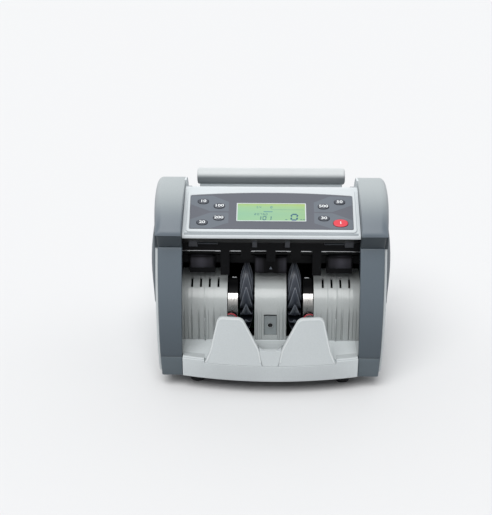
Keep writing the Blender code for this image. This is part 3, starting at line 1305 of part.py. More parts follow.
def build():
    clear_scene()
    blue_grey = make_material("blue_grey_plastic", (0.16, 0.20, 0.23), 0.45)
    pale = make_material("pale_plastic", (0.62, 0.65, 0.66), 0.45)
    silver = make_material("silver_plastic", (0.66, 0.70, 0.73), 0.35)
    black = make_material("black_plastic", (0.015, 0.016, 0.018), 0.4)
    rubber = make_material("black_rubber", (0.02, 0.02, 0.022), 0.8)
    steel = make_material("steel", (0.6, 0.6, 0.6), 0.3, 1.0)
    dark_steel = make_material("dark_steel", (0.08, 0.08, 0.09), 0.5, 0.6)
    film = make_material("overlay_film", (0.13, 0.14, 0.16), 0.4)
    cap = make_material("key_dark", (0.07, 0.08, 0.09), 0.45)
    red = make_material("key_red", (0.75, 0.07, 0.09), 0.45)
    green = make_material("display_green", (0.38, 0.63, 0.35), 0.2)
    circuit = make_material("circuit_board", (0.03, 0.16, 0.07), 0.5)

    for side in (-1, 1):
        side_hood(side, blue_grey)
        side_column(side, blue_grey)
        base_corner(side, blue_grey)
        side_grip(side, blue_grey)
        side_panel(side, pale)
        side_frame(side, dark_steel)
        stacker_side_plate(side, pale)
        sensor_bracket(side, steel)
        impeller(side, rubber)
        feed_roller(side, rubber)
        hopper_guide(side, pale)
        foot(side_name("foot_front", side), side * FOOT_X, FOOT_FRONT_Y, rubber)
        foot(side_name("foot_rear", side), side * FOOT_X, FOOT_REAR_Y, rubber)

    base_pan(dark_steel)
    stacker_tray(pale)
    stacker_stop(pale)
    stacker_centre_plate(pale)
    stack_sensor(black)
    pulley_shaft("impeller_shaft", IMPELLER_Y, IMPELLER_Z, IMPELLER_PULLEY_RADIUS, [], steel)
    pulley_shaft("feed_shaft", FEED_Y, FEED_Z, FEED_PULLEY_RADIUS, [], steel)
    pulley_shaft("transport_shaft", TRANSPORT_Y, TRANSPORT_Z, TRANSPORT_PULLEY_RADIUS,
                 transport_rollers(), steel)
    main_motor(steel)
    motor_pulley(steel)
    drive_belt(rubber)
    upper_note_guide(black)
    lower_note_guide(black)
    guide_rod(steel)
    front_cover(silver)
    control_overlay(film)
    display_window(green)
    for name, x, s, halves in key_places():
        key(name, x, s, halves, red if name == "key_start" else cap)
    control_board(circuit)
    hopper_plate(pale)
    hopper_back_support(pale)
    rear_cover(pale)
    power_inlet(black)
    power_switch(black)
    gap_knob(black)
    main_board(circuit)
    transformer(dark_steel)


build()
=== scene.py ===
"""Looks for the banknote counter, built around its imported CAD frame.

Metres, +Z up, front towards -Y, the same frame as the CAD.
"""
import math

import bmesh
import bpy
from mathutils import Matrix, Vector


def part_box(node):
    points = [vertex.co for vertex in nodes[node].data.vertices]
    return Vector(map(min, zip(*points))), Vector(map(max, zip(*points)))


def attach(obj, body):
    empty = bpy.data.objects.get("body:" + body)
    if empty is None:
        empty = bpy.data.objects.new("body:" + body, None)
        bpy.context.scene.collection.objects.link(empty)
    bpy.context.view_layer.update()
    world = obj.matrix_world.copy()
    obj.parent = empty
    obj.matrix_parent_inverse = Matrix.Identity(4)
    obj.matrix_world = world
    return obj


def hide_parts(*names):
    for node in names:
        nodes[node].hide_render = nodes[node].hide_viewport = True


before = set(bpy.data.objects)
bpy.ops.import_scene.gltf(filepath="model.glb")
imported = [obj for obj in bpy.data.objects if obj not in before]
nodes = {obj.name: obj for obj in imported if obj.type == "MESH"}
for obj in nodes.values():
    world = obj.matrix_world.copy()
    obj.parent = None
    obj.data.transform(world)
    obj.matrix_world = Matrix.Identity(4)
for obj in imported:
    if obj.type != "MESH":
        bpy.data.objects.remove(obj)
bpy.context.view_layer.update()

# Sizes shared with the CAD
WALL = 0.0025
GAP = 0.0003
INNER = 0.0950
FRAME_X = 0.1000
BASE_BOTTOM = 0.0133
SEAM = 0.0370
BAND_BOTTOM = 0.1530
CREASE = 0.1686
HOOD_TOP = 0.2082
BACK_Y = 0.1190
FOOT_Y = -0.1040
TOP_Y = -0.0750
CREASE_Y = -0.0840
COLUMN_X = 0.1212
HOOD_REAR_Y = 0.0880
PANEL_REAR_Y = 0.1160
PANEL_BOTTOM = 0.0180
TRAY_TOP = 0.0370
HOOD_DROP = 0.0376  # fall of the hoods behind the cover
STACKER_SPACE = CREASE - SEAM
PLATE_Y = -0.0220
PLATE_Z = TRAY_TOP + STACKER_SPACE * 0.2318
PLATE_R = STACKER_SPACE * 0.2812
IMPELLER_Y = -0.0300
IMPELLER_Z = TRAY_TOP + STACKER_SPACE * 0.304
IMPELLER_TIP = STACKER_SPACE * 0.3153
IMPELLER_HUB = 0.0160
SLOPE = math.radians(29.2)
NOSE_Y = -0.0760
NOSE_Z = 0.1633
SURFACE = 0.0038
PLATFORM = 0.0054
RECESS = 0.0042
OVERLAY_H = RECESS + GAP
OVERLAY_TOP = OVERLAY_H + 0.0006


# Colours and materials

def linear(code):
    """Linear colour of a hex code."""
    values = []
    for i in (0, 2, 4):
        c = int(code[i:i + 2], 16) / 255
        values.append(c / 12.92 if c <= 0.04045 else ((c + 0.055) / 1.055) ** 2.4)
    return (*values, 1.0)


def shade(colour, factor):
    return (*[min(c * factor, 1.0) for c in colour[:3]], 1.0)


class Graph:
    """Small helper to build a node material."""

    def __init__(self, name):
        self.material = bpy.data.materials.new(name)
        self.material.use_nodes = True
        self.tree = self.material.node_tree
        self.shader = self.tree.nodes["Principled BSDF"]
        self.where = self.add("ShaderNodeTexCoord").outputs["Object"]

    def add(self, kind, **values):
        node = self.tree.nodes.new(kind)
        for key, value in values.items():
            if hasattr(node, key):
                setattr(node, key, value)
            else:
                node.inputs[key.replace("_", " ")].default_value = value
        return node

    def link(self, source, target):
        self.tree.links.new(source, target)

    def noise(self, scale, detail=3.0, stretch=None):
        node = self.add("ShaderNodeTexNoise", Scale=scale, Detail=detail)
        if stretch:
            mapping = self.add("ShaderNodeMapping")
            mapping.inputs["Scale"].default_value = stretch
            self.link(self.where, mapping.inputs["Vector"])
            self.link(mapping.outputs["Vector"], node.inputs["Vector"])
        else:
            self.link(self.where, node.inputs["Vector"])
        return node.outputs["Fac"]

    def ramp(self, source, stops):
        node = self.add("ShaderNodeValToRGB")
        ramp = node.color_ramp
        ramp.elements[0].position, ramp.elements[0].color = stops[0]
        ramp.elements[1].position, ramp.elements[1].color = stops[-1]
        for place, colour in stops[1:-1]:
            ramp.elements.new(place).color = colour
        self.link(source, node.inputs["Fac"])
        return node.outputs["Color"]

    def remap(self, source, low, high):
        node = self.add("ShaderNodeMapRange")
        node.inputs["To Min"].default_value = low
        node.inputs["To Max"].default_value = high
        self.link(source, node.inputs["Value"])
        return node.outputs["Result"]

    def multiply(self, first, second):
        node = self.add("ShaderNodeMix", data_type="RGBA", blend_type="MULTIPLY")
        node.inputs["Factor"].default_value = 1.0
        self.link(first, node.inputs["A"])
        self.link(second, node.inputs["B"])
        return node.outputs["Result"]

    def bump(self, source, strength, distance):
        node = self.add("ShaderNodeBump")
        node.inputs["Strength"].default_value = strength
        node.inputs["Distance"].default_value = distance
        self.link(source, node.inputs["Height"])
        self.link(node.outputs["Normal"], self.shader.inputs["Normal"])


def moulded(name, code, roughness, grain=900.0, bump=0.12, spread=0.05, metallic=0.0, coat=0.0,
            stretch=None, specular=0.5):
    """Moulded or painted surface: slow colour drift, fine grain and uneven gloss."""
    graph = Graph(name)
    base = linear(code)
    slow = graph.noise(14.0, 4.0)
    tone = graph.ramp(slow, [(0.3, shade(base, 1 - spread)), (0.7, shade(base, 1 + spread))])
    fine = graph.noise(grain, 2.0, stretch)
    speck = graph.ramp(fine, [(0.25, (0.93, 0.93, 0.93, 1)), (0.75, (1, 1, 1, 1))])
    graph.link(graph.multiply(tone, speck), graph.shader.inputs["Base Color"])
    patch = graph.noise(60.0, 3.0)
    graph.link(graph.remap(patch, roughness - 0.05, roughness + 0.05),
               graph.shader.inputs["Roughness"])
    graph.shader.inputs["Metallic"].default_value = metallic
    graph.shader.inputs["Coat Weight"].default_value = coat
    graph.shader.inputs["Specular IOR Level"].default_value = specular
    graph.bump(fine, bump, 0.00015)
    return graph.material


def painted_height_shade(name, light, dark, low, high, roughness):
    """Moulded plastic with painted light and shade: a darker tone below one height turning to a lighter one
    above another, standing in for light falling from above.
    """
    material = moulded(name, light, roughness, spread=0.02)
    tree = material.node_tree
    shader = tree.nodes["Principled BSDF"]
    former = shader.inputs["Base Color"].links[0].from_socket
    where = tree.nodes.new("ShaderNodeTexCoord")
    split = tree.nodes.new("ShaderNodeSeparateXYZ")
    tree.links.new(where.outputs["Object"], split.inputs["Vector"])
    place = tree.nodes.new("ShaderNodeMapRange")
    place.interpolation_type = "SMOOTHSTEP"
    place.inputs["From Min"].default_value = low
    place.inputs["From Max"].default_value = high
    tree.links.new(split.outputs["Z"], place.inputs["Value"])
    blend = tree.nodes.new("ShaderNodeMix")
    blend.data_type = "RGBA"
    blend.inputs["A"].default_value = linear(dark)
    tree.links.new(place.outputs["Result"], blend.inputs["Factor"])
    tree.links.new(former, blend.inputs["B"])
    tree.links.new(blend.outputs["Result"], shader.inputs["Base Color"])
    return material


def painted_inner_shade(name, light, dark, roughness, wall_y, deck_z):
    """Pale plastic whose inner face, in front of wall_y and under deck_z, is painted near-black as painted
    shade inside the casing.
    """
    material = moulded(name, light, roughness, spread=0.03)
    tree = material.node_tree
    shader = tree.nodes["Principled BSDF"]
    former = shader.inputs["Base Color"].links[0].from_socket
    where = tree.nodes.new("ShaderNodeTexCoord")
    split = tree.nodes.new("ShaderNodeSeparateXYZ")
    tree.links.new(where.outputs["Object"], split.inputs["Vector"])
    tests = []
    for axis, limit in (("Y", wall_y), ("Z", deck_z)):
        test = tree.nodes.new("ShaderNodeMath")
        test.operation = "GREATER_THAN"
        test.inputs[1].default_value = limit
        tree.links.new(split.outputs[axis], test.inputs[0])
        tests.append(test)
    either = tree.nodes.new("ShaderNodeMath")
    either.operation = "MAXIMUM"
    for i, test in enumerate(tests):
        tree.links.new(test.outputs["Value"], either.inputs[i])
    blend = tree.nodes.new("ShaderNodeMix")
    blend.data_type = "RGBA"
    blend.inputs["A"].default_value = linear(dark)
    tree.links.new(either.outputs["Value"], blend.inputs["Factor"])
    tree.links.new(former, blend.inputs["B"])
    tree.links.new(blend.outputs["Result"], shader.inputs["Base Color"])
    return material


def painted_light_plate():
    """Plates with painted light: a painted bright band at mid-height, painted shade at their top under the
    guides and towards their foot.
    """
    material = moulded("plate_painted_light", "bcc1c1", 0.30, bump=0.03, spread=0.02, coat=0.4)
    tree = material.node_tree
    shader = tree.nodes["Principled BSDF"]
    former = shader.inputs["Base Color"].links[0].from_socket
    where = tree.nodes.new("ShaderNodeTexCoord")
    split = tree.nodes.new("ShaderNodeSeparateXYZ")
    tree.links.new(where.outputs["Object"], split.inputs["Vector"])
    place = tree.nodes.new("ShaderNodeMapRange")
    place.inputs["From Min"].default_value = TRAY_TOP
    place.inputs["From Max"].default_value = PLATE_Z + PLATE_R
    tree.links.new(split.outputs["Z"], place.inputs["Value"])
    ramp = tree.nodes.new("ShaderNodeValToRGB")
    # Painted light and shade: brightness factors by height, dark at the top, brightest at mid-height, darker
    # at the foot.
    stops = [(0.0, 0.78), (0.35, 0.84), (0.62, 0.97), (0.78, 1.16), (0.9, 1.10), (0.965, 0.62), (1.0, 0.42)]
    ramp.color_ramp.elements[0].position = stops[0][0]
    ramp.color_ramp.elements[0].color = (stops[0][1], stops[0][1], stops[0][1], 1)
    ramp.color_ramp.elements[1].position = stops[-1][0]
    ramp.color_ramp.elements[1].color = (stops[-1][1], stops[-1][1], stops[-1][1], 1)
    for spot, value in stops[1:-1]:
        ramp.color_ramp.elements.new(spot).color = (value, value, value, 1)
    tree.links.new(place.outputs["Result"], ramp.inputs["Fac"])
    blend = tree.nodes.new("ShaderNodeMix")
    blend.data_type = "RGBA"
    blend.blend_type = "MULTIPLY"
    blend.inputs["Factor"].default_value = 1.0
    tree.links.new(former, blend.inputs["A"])
    tree.links.new(ramp.outputs["Color"], blend.inputs["B"])
    tree.links.new(blend.outputs["Result"], shader.inputs["Base Color"])
    return material


def painted_light_tray(name, code, roughness, front, rear):
    """Plastic painted a little paler towards the rear of a tray: painted light where light gathers there."""
    material = moulded(name, code, roughness)
    tree = material.node_tree
    shader = tree.nodes["Principled BSDF"]
    former = shader.inputs["Base Color"].links[0].from_socket
    where = tree.nodes.new("ShaderNodeTexCoord")
    split = tree.nodes.new("ShaderNodeSeparateXYZ")
    tree.links.new(where.outputs["Object"], split.inputs["Vector"])
    place = tree.nodes.new("ShaderNodeMapRange")
    place.inputs["From Min"].default_value = front
    place.inputs["From Max"].default_value = rear
    place.inputs["To Min"].default_value = 1.0
    place.inputs["To Max"].default_value = 1.22
    tree.links.new(split.outputs["Y"], place.inputs["Value"])
    scale = tree.nodes.new("ShaderNodeVectorMath")
    scale.operation = "SCALE"
    tree.links.new(former, scale.inputs["Vector"])
    tree.links.new(place.outputs["Result"], scale.inputs["Scale"])
    tree.links.new(scale.outputs["Vector"], shader.inputs["Base Color"])
    return material


def painted_sheen_black(name, places, low, high):
    """Black plastic with painted highlights in upright bands, from (|x|, share) places, and painted shade
    towards its top and bottom.
    """
    material = moulded(name, "4f4e56", 0.55, bump=0.02, spread=0.02)
    tree = material.node_tree
    shader = tree.nodes["Principled BSDF"]
    shader.inputs["Specular IOR Level"].default_value = 0.12
    former = shader.inputs["Base Color"].links[0].from_socket
    where = tree.nodes.new("ShaderNodeTexCoord")
    split = tree.nodes.new("ShaderNodeSeparateXYZ")
    tree.links.new(where.outputs["Object"], split.inputs["Vector"])
    size = tree.nodes.new("ShaderNodeMath")
    size.operation = "ABSOLUTE"
    tree.links.new(split.outputs["X"], size.inputs[0])
    for source, start, end, stops in (
            (size.outputs["Value"], 0.0, 0.1, places),
            (split.outputs["Z"], low, high, [(0.0, 0.2), (0.3, 0.8), (0.65, 1.0), (0.9, 0.45), (1.0, 0.2)])):
        place = tree.nodes.new("ShaderNodeMapRange")
        place.inputs["From Min"].default_value = start
        place.inputs["From Max"].default_value = end
        tree.links.new(source, place.inputs["Value"])
        ramp = tree.nodes.new("ShaderNodeValToRGB")
        ramp.color_ramp.interpolation = "EASE"
        marks = ramp.color_ramp.elements
        marks[0].position, marks[1].position = stops[0][0], stops[-1][0]
        marks[0].color = (stops[0][1], stops[0][1], stops[0][1], 1)
        marks[1].color = (stops[-1][1], stops[-1][1], stops[-1][1], 1)
        for spot, value in stops[1:-1]:
            marks.new(spot).color = (value, value, value, 1)
        tree.links.new(place.outputs["Result"], ramp.inputs["Fac"])
        blend = tree.nodes.new("ShaderNodeMix")
        blend.data_type = "RGBA"
        blend.blend_type = "MULTIPLY"
        blend.inputs["Factor"].default_value = 1.0
        tree.links.new(former, blend.inputs["A"])
        tree.links.new(ramp.outputs["Color"], blend.inputs["B"])
        former = blend.outputs["Result"]
    tree.links.new(former, shader.inputs["Base Color"])
    return material


def display_material():
    """Backlit liquid crystal: green, yellower along its upper edge and right end."""
    graph = Graph("lcd_green")
    split = graph.add("ShaderNodeSeparateXYZ")
    graph.link(graph.where, split.inputs["Vector"])
    up = graph.add("ShaderNodeMapRange")
    up.inputs["From Min"].default_value = NOSE_Z + 0.0206 * math.sin(SLOPE) + RECESS
    up.inputs["From Max"].default_value = NOSE_Z + 0.0467 * math.sin(SLOPE) + RECESS
    graph.link(split.outputs["Z"], up.inputs["Value"])
    tone = graph.ramp(up.outputs["Result"], [(0.0, linear("8fb48c")), (0.45, linear("8cb291")),
                                             (0.8, linear("93b68a")), (1.0, linear("a0b670"))])
    across = graph.add("ShaderNodeMapRange")
    across.inputs["From Min"].default_value = -0.036
    across.inputs["From Max"].default_value = 0.036
    graph.link(split.outputs["X"], across.inputs["Value"])
    warm = graph.ramp(across.outputs["Result"], [(0.0, (0.93, 1.0, 1.03, 1)), (0.8, (1, 1, 0.97, 1)),
                                                 (1.0, (1.0, 0.96, 0.84, 1))])
    cells = graph.ramp(graph.noise(2600.0, 1.0), [(0.3, (0.98, 0.985, 0.98, 1)), (0.7, (1, 1, 1, 1))])
    colour = graph.multiply(graph.multiply(tone, warm), cells)
    graph.link(colour, graph.shader.inputs["Base Color"])
    graph.link(colour, graph.shader.inputs["Emission Color"])
    graph.shader.inputs["Emission Strength"].default_value = 0.12
    graph.shader.inputs["Roughness"].default_value = 0.3
    return graph.material


def brushed(name, code, roughness, stretch):
    """Metal with a drawn or turned grain."""
    graph = Graph(name)
    base = linear(code)
    grain = graph.noise(260.0, 4.0, stretch)
    tone = graph.ramp(grain, [(0.3, shade(base, 0.86)), (0.7, shade(base, 1.06))])
    graph.link(tone, graph.shader.inputs["Base Color"])
    graph.link(graph.remap(grain, roughness - 0.08, roughness + 0.08),
               graph.shader.inputs["Roughness"])
    graph.shader.inputs["Metallic"].default_value = 1.0
    graph.bump(grain, 0.08, 0.0001)
    return graph.material


# Painted light: the hoods' tops are painted lighter and their fronts darker towards the crease.
hood_shaded_grey = painted_height_shade("hood_painted_shade", "a9b0b2", "646e77", 0.1760, 0.2090, 0.42)
# Painted shade: the columns are painted darker towards their foot.
column_shaded_grey = painted_height_shade("column_painted_shade", "5b666f", "454f57", 0.0300, 0.1300, 0.42)
corner_grey = moulded("corner_plastic", "58636a", 0.42)
grip_grey = moulded("grip_plastic", "4c575f", 0.5, grain=700.0, bump=0.3)
band_grey = moulded("band_plastic", "363f45", 0.5, grain=700.0, bump=0.3)
pale = moulded("pale_plastic", "c4cacc", 0.45, spread=0.03)
# Painted highlight: the finger rims and plate ribs are drawn in a paler plastic.
rim_highlight_pale = moulded("rim_painted_highlight", "d6dbdc", 0.4, spread=0.02)
plate_painted_pale = painted_light_plate()
# Painted light: the tray is painted lighter towards its rear.
tray_painted_pale = painted_light_tray("tray_painted_light", "c4cacc", 0.42, -0.112, -0.092)
# Painted highlights: the guide cheeks and the centre face carry painted soft light bands.
cheek_sheen_black = painted_sheen_black("cheek_painted_sheen", [(0.0, 0.0), (0.61, 0.06), (0.68, 0.45), (0.77, 1.0), (0.86, 0.6),
                                       (0.905, 0.08), (1.0, 0.0)], 0.1150, 0.1335)
centre_sheen_black = painted_sheen_black("centre_painted_sheen", [(0.0, 0.05), (0.065, 0.06), (0.120, 0.42), (0.150, 0.62),
                                         (0.182, 0.15), (1.0, 0.0)], 0.1110, 0.1330)
silver = moulded("silver_plastic", "d2d8db", 0.34, grain=1300.0, bump=0.08, spread=0.02)
film = moulded("overlay_film", "5f626b", 0.42, grain=1500.0, bump=0.05, spread=0.02)
film_zone = moulded("overlay_zone", "697079", 0.42, grain=1500.0, bump=0.05, spread=0.03)
key_dark = moulded("key_dark", "464a53", 0.38, grain=1200.0, bump=0.06)
key_red = moulded("key_red", "df4350", 0.36, grain=1200.0, bump=0.06, spread=0.03)
print_white = moulded("print_white", "e9ecee", 0.5, grain=1500.0, bump=0.04, spread=0.02)
segment_ink = moulded("lcd_ink", "2f5f7a", 0.4, grain=1500.0, bump=0.02, spread=0.04)
segment_pale = moulded("lcd_ink_pale", "5f9096", 0.4, grain=1500.0, bump=0.02, spread=0.04)
black = moulded("black_plastic", "07080b", 0.5, grain=800.0, bump=0.08, specular=0.15)
gloss_black = moulded("gloss_black_plastic", "07080b", 0.3, grain=800.0, bump=0.04, specular=0.4)
rubber = moulded("black_rubber", "1c1d20", 0.62, grain=1100.0, bump=0.25)
fin_rubber = moulded("fin_rubber", "40454f", 0.34, grain=1100.0, bump=0.12)
# Painted highlight: paler strips along the impeller fins' edges.
fin_edge_highlight = moulded("fin_edge_highlight", "6d737d", 0.38, grain=1100.0, bump=0.1)
dark_steel = moulded("coated_steel", "202327", 0.5, metallic=0.4, grain=900.0)
circuit = moulded("circuit_board", "1c5a35", 0.45, grain=400.0, spread=0.15)
wire_red = moulded("wire_red", "b83440", 0.45)
step_shade_grey = moulded("step_painted_shade", "9da4a9", 0.4, spread=0.02)
screw_dark = moulded("screw_dark", "3c3f44", 0.35, metallic=0.7)
tab_grey = moulded("tab_grey", "3a3d44", 0.4)
board_dark = moulded("shielded_steel", "101114", 0.6, specular=0.2)
chrome = brushed("rod_chrome", "c9cbcc", 0.22, (0.1, 1.0, 1.0))
bright = brushed("bracket_steel", "d5d3d0", 0.28, (1.0, 0.12, 0.12))
lcd = display_material()
# Painted shade: the rear cover's inner faces are painted near-black.
rear_shaded_pale = painted_inner_shade("rear_painted_shade", "c4cacc", "0d0e10", 0.45, BACK_Y - 0.0015, 0.1585)
# Painted shade: the roll's lower half is painted dark grey.
roll_shaded_pale = painted_height_shade("roll_painted_shade", "ced2d3", "6f7477", 0.1840, 0.1895, 0.4)


# Mesh helpers

def put(name, mesh, material, body, replaced=(), bevel=0.0, segments=3, angle=35):
    """Finishes a piece: shading, soft edges, material and body."""
    thing = bpy.data.objects.new(name, mesh)
    bpy.context.scene.collection.objects.link(thing)
    mesh.materials.clear()
    mesh.materials.append(material)
    mesh.shade_smooth()
    mesh.set_sharp_from_angle(angle=math.radians(angle))
    if bevel:
        soften(thing, bevel, segments, angle)
    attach(thing, body)
    if replaced:
        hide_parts(*replaced)
    return thing


def soften(thing, width, segments=3, angle=35):
    edge = thing.modifiers.new("soft_edges", "BEVEL")
    edge.width = width
    edge.segments = segments
    edge.limit_method = "ANGLE"
    edge.angle_limit = math.radians(angle)
    edge.harden_normals = True


def mesh_from(name, points, faces):
    mesh = bpy.data.meshes.new(name)
    shape = bmesh.new()
    verts = [shape.verts.new(point) for point in points]
    for face in faces:
        corners = [verts[i] for i in face]
        if len(set(corners)) > 2 and not shape.faces.get(corners):
            shape.faces.new(corners)
    bmesh.ops.recalc_face_normals(shape, faces=shape.faces)
    shape.to_mesh(mesh)
    shape.free()
    return mesh


def loft(name, rings):
    """Closed solid through rings of equal count."""
    count = len(rings[0])
    points = [point for ring in rings for point in ring]
    faces = [list(range(count)), [len(points) - count + i for i in range(count)]]
    for level in range(len(rings) - 1):
        low, high = level * count, (level + 1) * count
        for i in range(count):
            j = (i + 1) % count
            faces.append([low + i, low + j, high + j, high + i])
    return mesh_from(name, points, faces)


def along_x(name, profile, low, high):
    return loft(name, [[(x, y, z) for y, z in profile] for x in (low, high)])


def merge(name, meshes):
    """Several meshes in one."""
    shape = bmesh.new()
    for mesh in meshes:
        shape.from_mesh(mesh)
    joined = bpy.data.meshes.new(name)
    shape.to_mesh(joined)
    shape.free()
    return joined


def mix(low, high, share):
    return low + (high - low) * share


def rounded(points, radii, steps=6):
    """Polygon with its corners rounded by the given radii."""
    result = []
    count = len(points)
    for i, point in enumerate(points):
        here = Vector(point)
        radius = radii[i] if isinstance(radii, (list, tuple)) else radii
        before = Vector(points[i - 1]) - here
        after = Vector(points[(i + 1) % count]) - here
        if radius <= 0:
            result.append(tuple(here))
            continue
        angle = before.angle(after)
        reach = min(radius / math.tan(angle / 2), before.length * 0.48, after.length * 0.48)
        start = here + before.normalized() * reach
        end = here + after.normalized() * reach
        for k in range(steps + 1):
            t = k / steps
            spot = (1 - t) ** 2 * start + 2 * t * (1 - t) * here + t ** 2 * end
            result.append(tuple(spot))
    return result


def masked_sheet(name, outer, inner, mask):
    """Sheet with holes: outer[i][j] and inner[i][j] points, mask[i][j] tells which cells exist."""
    rows, cols = len(outer), len(outer[0])
    points = [p for row in outer for p in row] + [p for row in inner for p in row]
    shift = rows * cols

    def present(i, j):
        return 0 <= i < rows - 1 and 0 <= j < cols - 1 and mask[i][j]

    faces = []
    for i in range(rows - 1):
        for j in range(cols - 1):
            if not mask[i][j]:
                continue
            a, b, c, d = i * cols + j, i * cols + j + 1, (i + 1) * cols + j + 1, (i + 1) * cols + j
            faces.append([a, b, c, d])
            faces.append([d + shift, c + shift, b + shift, a + shift])
            for near, p, q in (((i - 1, j), a, b), ((i, j + 1), b, c), ((i + 1, j), c, d),
                               ((i, j - 1), d, a)):
                if not present(*near):
                    faces.append([q, p, p + shift, q + shift])
    mesh = mesh_from(name, points, faces)
    shape = bmesh.new()
    shape.from_mesh(mesh)
    loose = [v for v in shape.verts if not v.link_faces]
    bmesh.ops.delete(shape, geom=loose, context="VERTS")
    shape.to_mesh(mesh)
    shape.free()
    return mesh


def turned(name, steps, centre, axis="x", count=48):
    """Solid turned round an axis through centre, from (place along it, radius) steps."""
    rings = []
    for along, radius in steps:
        ring = []
        for i in range(count):
            a = 2 * math.pi * i / count
            u, v = radius * math.cos(a), radius * math.sin(a)
            if axis == "x":
                ring.append((along, centre[1] + u, centre[2] + v))
            elif axis == "y":
                ring.append((centre[0] + u, along, centre[2] + v))
            else:
                ring.append((centre[0] + u, centre[1] + v, along))
        rings.append(ring)
    return loft(name, rings)


def plate_at(name, outline, low, high):
    """Flat plate of (x, s) points between two heights off the panel's slope."""
    return loft(name, [[on_panel(x, s, h) for x, s in outline] for h in (low, high)])


def on_panel(x, s, h):
    return (x, NOSE_Y + s * math.cos(SLOPE) - h * math.sin(SLOPE),
            NOSE_Z + s * math.sin(SLOPE) + h * math.cos(SLOPE))


def side_name(stem, side):
    return f"{stem}_{'right' if side > 0 else 'left'}"


# Hoods, columns and corners

def column_x(z):
    return COLUMN_X - 0.0033 * max((BAND_BOTTOM - z) / (BAND_BOTTOM - BASE_BOTTOM), 0) ** 2


def column_y(z):
    if z < SEAM:
        return FOOT_Y + 0.0025 * (SEAM - z) / (SEAM - BASE_BOTTOM)
    if z <= BAND_BOTTOM:
        return mix(FOOT_Y, TOP_Y, ((z - SEAM) / (BAND_BOTTOM - SEAM)) ** 1.6)
    return mix(TOP_Y, CREASE_Y, (z - BAND_BOTTOM) / (CREASE - BAND_BOTTOM))


def column_ring(side, z, shrink=0.0):
    front = column_y(z) + shrink
    inner = INNER + GAP
    outer = column_x(z)
    outline = [(inner, front), (outer, front), (outer, front + 0.016), (outer - WALL, front + 0.016),
               (outer - WALL, front + WALL), (inner + WALL, front + WALL),
               (inner + WALL, front + 0.008), (inner, front + 0.008)]
    radii = [0.0009, 0.0026, 0, 0, 0, 0, 0, 0]
    return [(side * x, y, z) for x, y in rounded(outline, radii)]


def column(side):
    """Front strip and, above it, the darker undercut band that runs into the grip."""
    foot = SEAM + GAP
    levels = [foot, foot + 0.0004, foot + 0.001]
    shrinks = [0.0006, 0.0002, 0.0]
    for i in range(1, 31):
        levels.append(mix(foot + 0.001, BAND_BOTTOM - 0.0012, i / 30))
        shrinks.append(0.0)
    levels += [BAND_BOTTOM - 0.0005, BAND_BOTTOM]
    shrinks += [0.0001, 0.0006]
    rings = [column_ring(side, z, s) for z, s in zip(levels, shrinks)]
    name = side_name("side_column", side)
    put(name + "_shell", loft(name, rings), column_shaded_grey, "casing", [name], angle=40)
    rings = [column_ring(side, BAND_BOTTOM + 0.0001, 0.0006)]
    for i in range(11):
        rings.append(column_ring(side, mix(BAND_BOTTOM + 0.0005, CREASE, i / 10), 0.0))
    put(name + "_band", loft(name, rings), band_grey, "casing", angle=40)


def base_corner(side):
    levels = [BASE_BOTTOM, BASE_BOTTOM + 0.0005, BASE_BOTTOM + 0.0014, 0.022, 0.029, SEAM - 0.0012,
              SEAM - 0.0004, SEAM]
    shrinks = [0.0012, 0.0004, 0.0, 0.0, 0.0, 0.0, 0.0002, 0.0007]
    rings = [column_ring(side, z, s) for z, s in zip(levels, shrinks)]
    name = side_name("base_corner", side)
    put(name + "_shell", loft(name, rings), corner_grey, "casing", [name], angle=40)


def hood_line(front_steps=30, rear_steps=18):
    nose = Vector((CREASE_Y, CREASE + GAP + 0.003))
    knee = Vector((-0.058, HOOD_TOP - 0.0047))
    crest = Vector((0.0, HOOD_TOP))
    line = []
    for i in range(front_steps + 1):
        t = i / front_steps
        p = (1 - t) ** 2 * nose + 2 * t * (1 - t) * knee + t ** 2 * crest
        line.append((p.x, p.y))
    for i in range(1, rear_steps + 1):
        share = i / rear_steps
        line.append((0.050 * share, HOOD_TOP - HOOD_DROP * (1 - math.cos(share * math.pi)) / 2))
    line.append((HOOD_REAR_Y, HOOD_TOP - HOOD_DROP))
    return line


def hood_ring(side, y, top, inset=0.0):
    foot = CREASE + GAP
    wall = min(max((y + 0.06) / 0.006, 0), 1)
    inner_foot = mix(foot - 0.0001, 0.158, wall)
    inner = INNER + GAP + inset
    share = min(max((y - CREASE_Y) / -CREASE_Y, 0), 1)
    outer = 0.1230 + 0.0055 * math.sin(share * math.pi / 2) - inset
    top -= inset
    width = 0.0085
    height = min(0.015, (top - foot) * math.sin(math.radians(60)))
    corner = min(0.0011, (top - foot) * 0.3)
    outline = [(inner, inner_foot), (inner, top - corner)]
    for i in range(1, 4):
        a = math.pi / 2 * i / 4
        outline.append((inner + corner * (1 - math.cos(a)), top - corner * (1 - math.sin(a))))
    outline.append((inner + corner, top))
    for i in range(17):
        a = math.pi / 2 * i / 16
        outline.append((outer - width * (1 - math.sin(a)), top - height * (1 - math.cos(a))))
    outline += [(outer, foot + 0.0005), (outer - 0.0005, foot), (inner + 0.0044, foot),
                (inner + 0.0044, inner_foot)]
    return [(side * x, y, z) for x, z in outline]


def hood(side):
    line = hood_line()
    rings = [hood_ring(side, y, z) for y, z in line]
    last_y, last_z = line[-1]
    rings[-1:] = [hood_ring(side, last_y - 0.0009, last_z + 0.0006),
                  hood_ring(side, last_y - 0.0002, last_z, 0.0004),
                  hood_ring(side, last_y, last_z, 0.0011)]
    first_y, first_z = line[0]
    rings[0] = hood_ring(side, first_y, first_z - 0.0006)
    name = side_name("side_hood", side)
    put(name + "_shell", loft(name, rings), hood_shaded_grey, "casing", [name], angle=40)


BAND_LEVEL = 0.886  # share of a side panel's height where the dark band starts


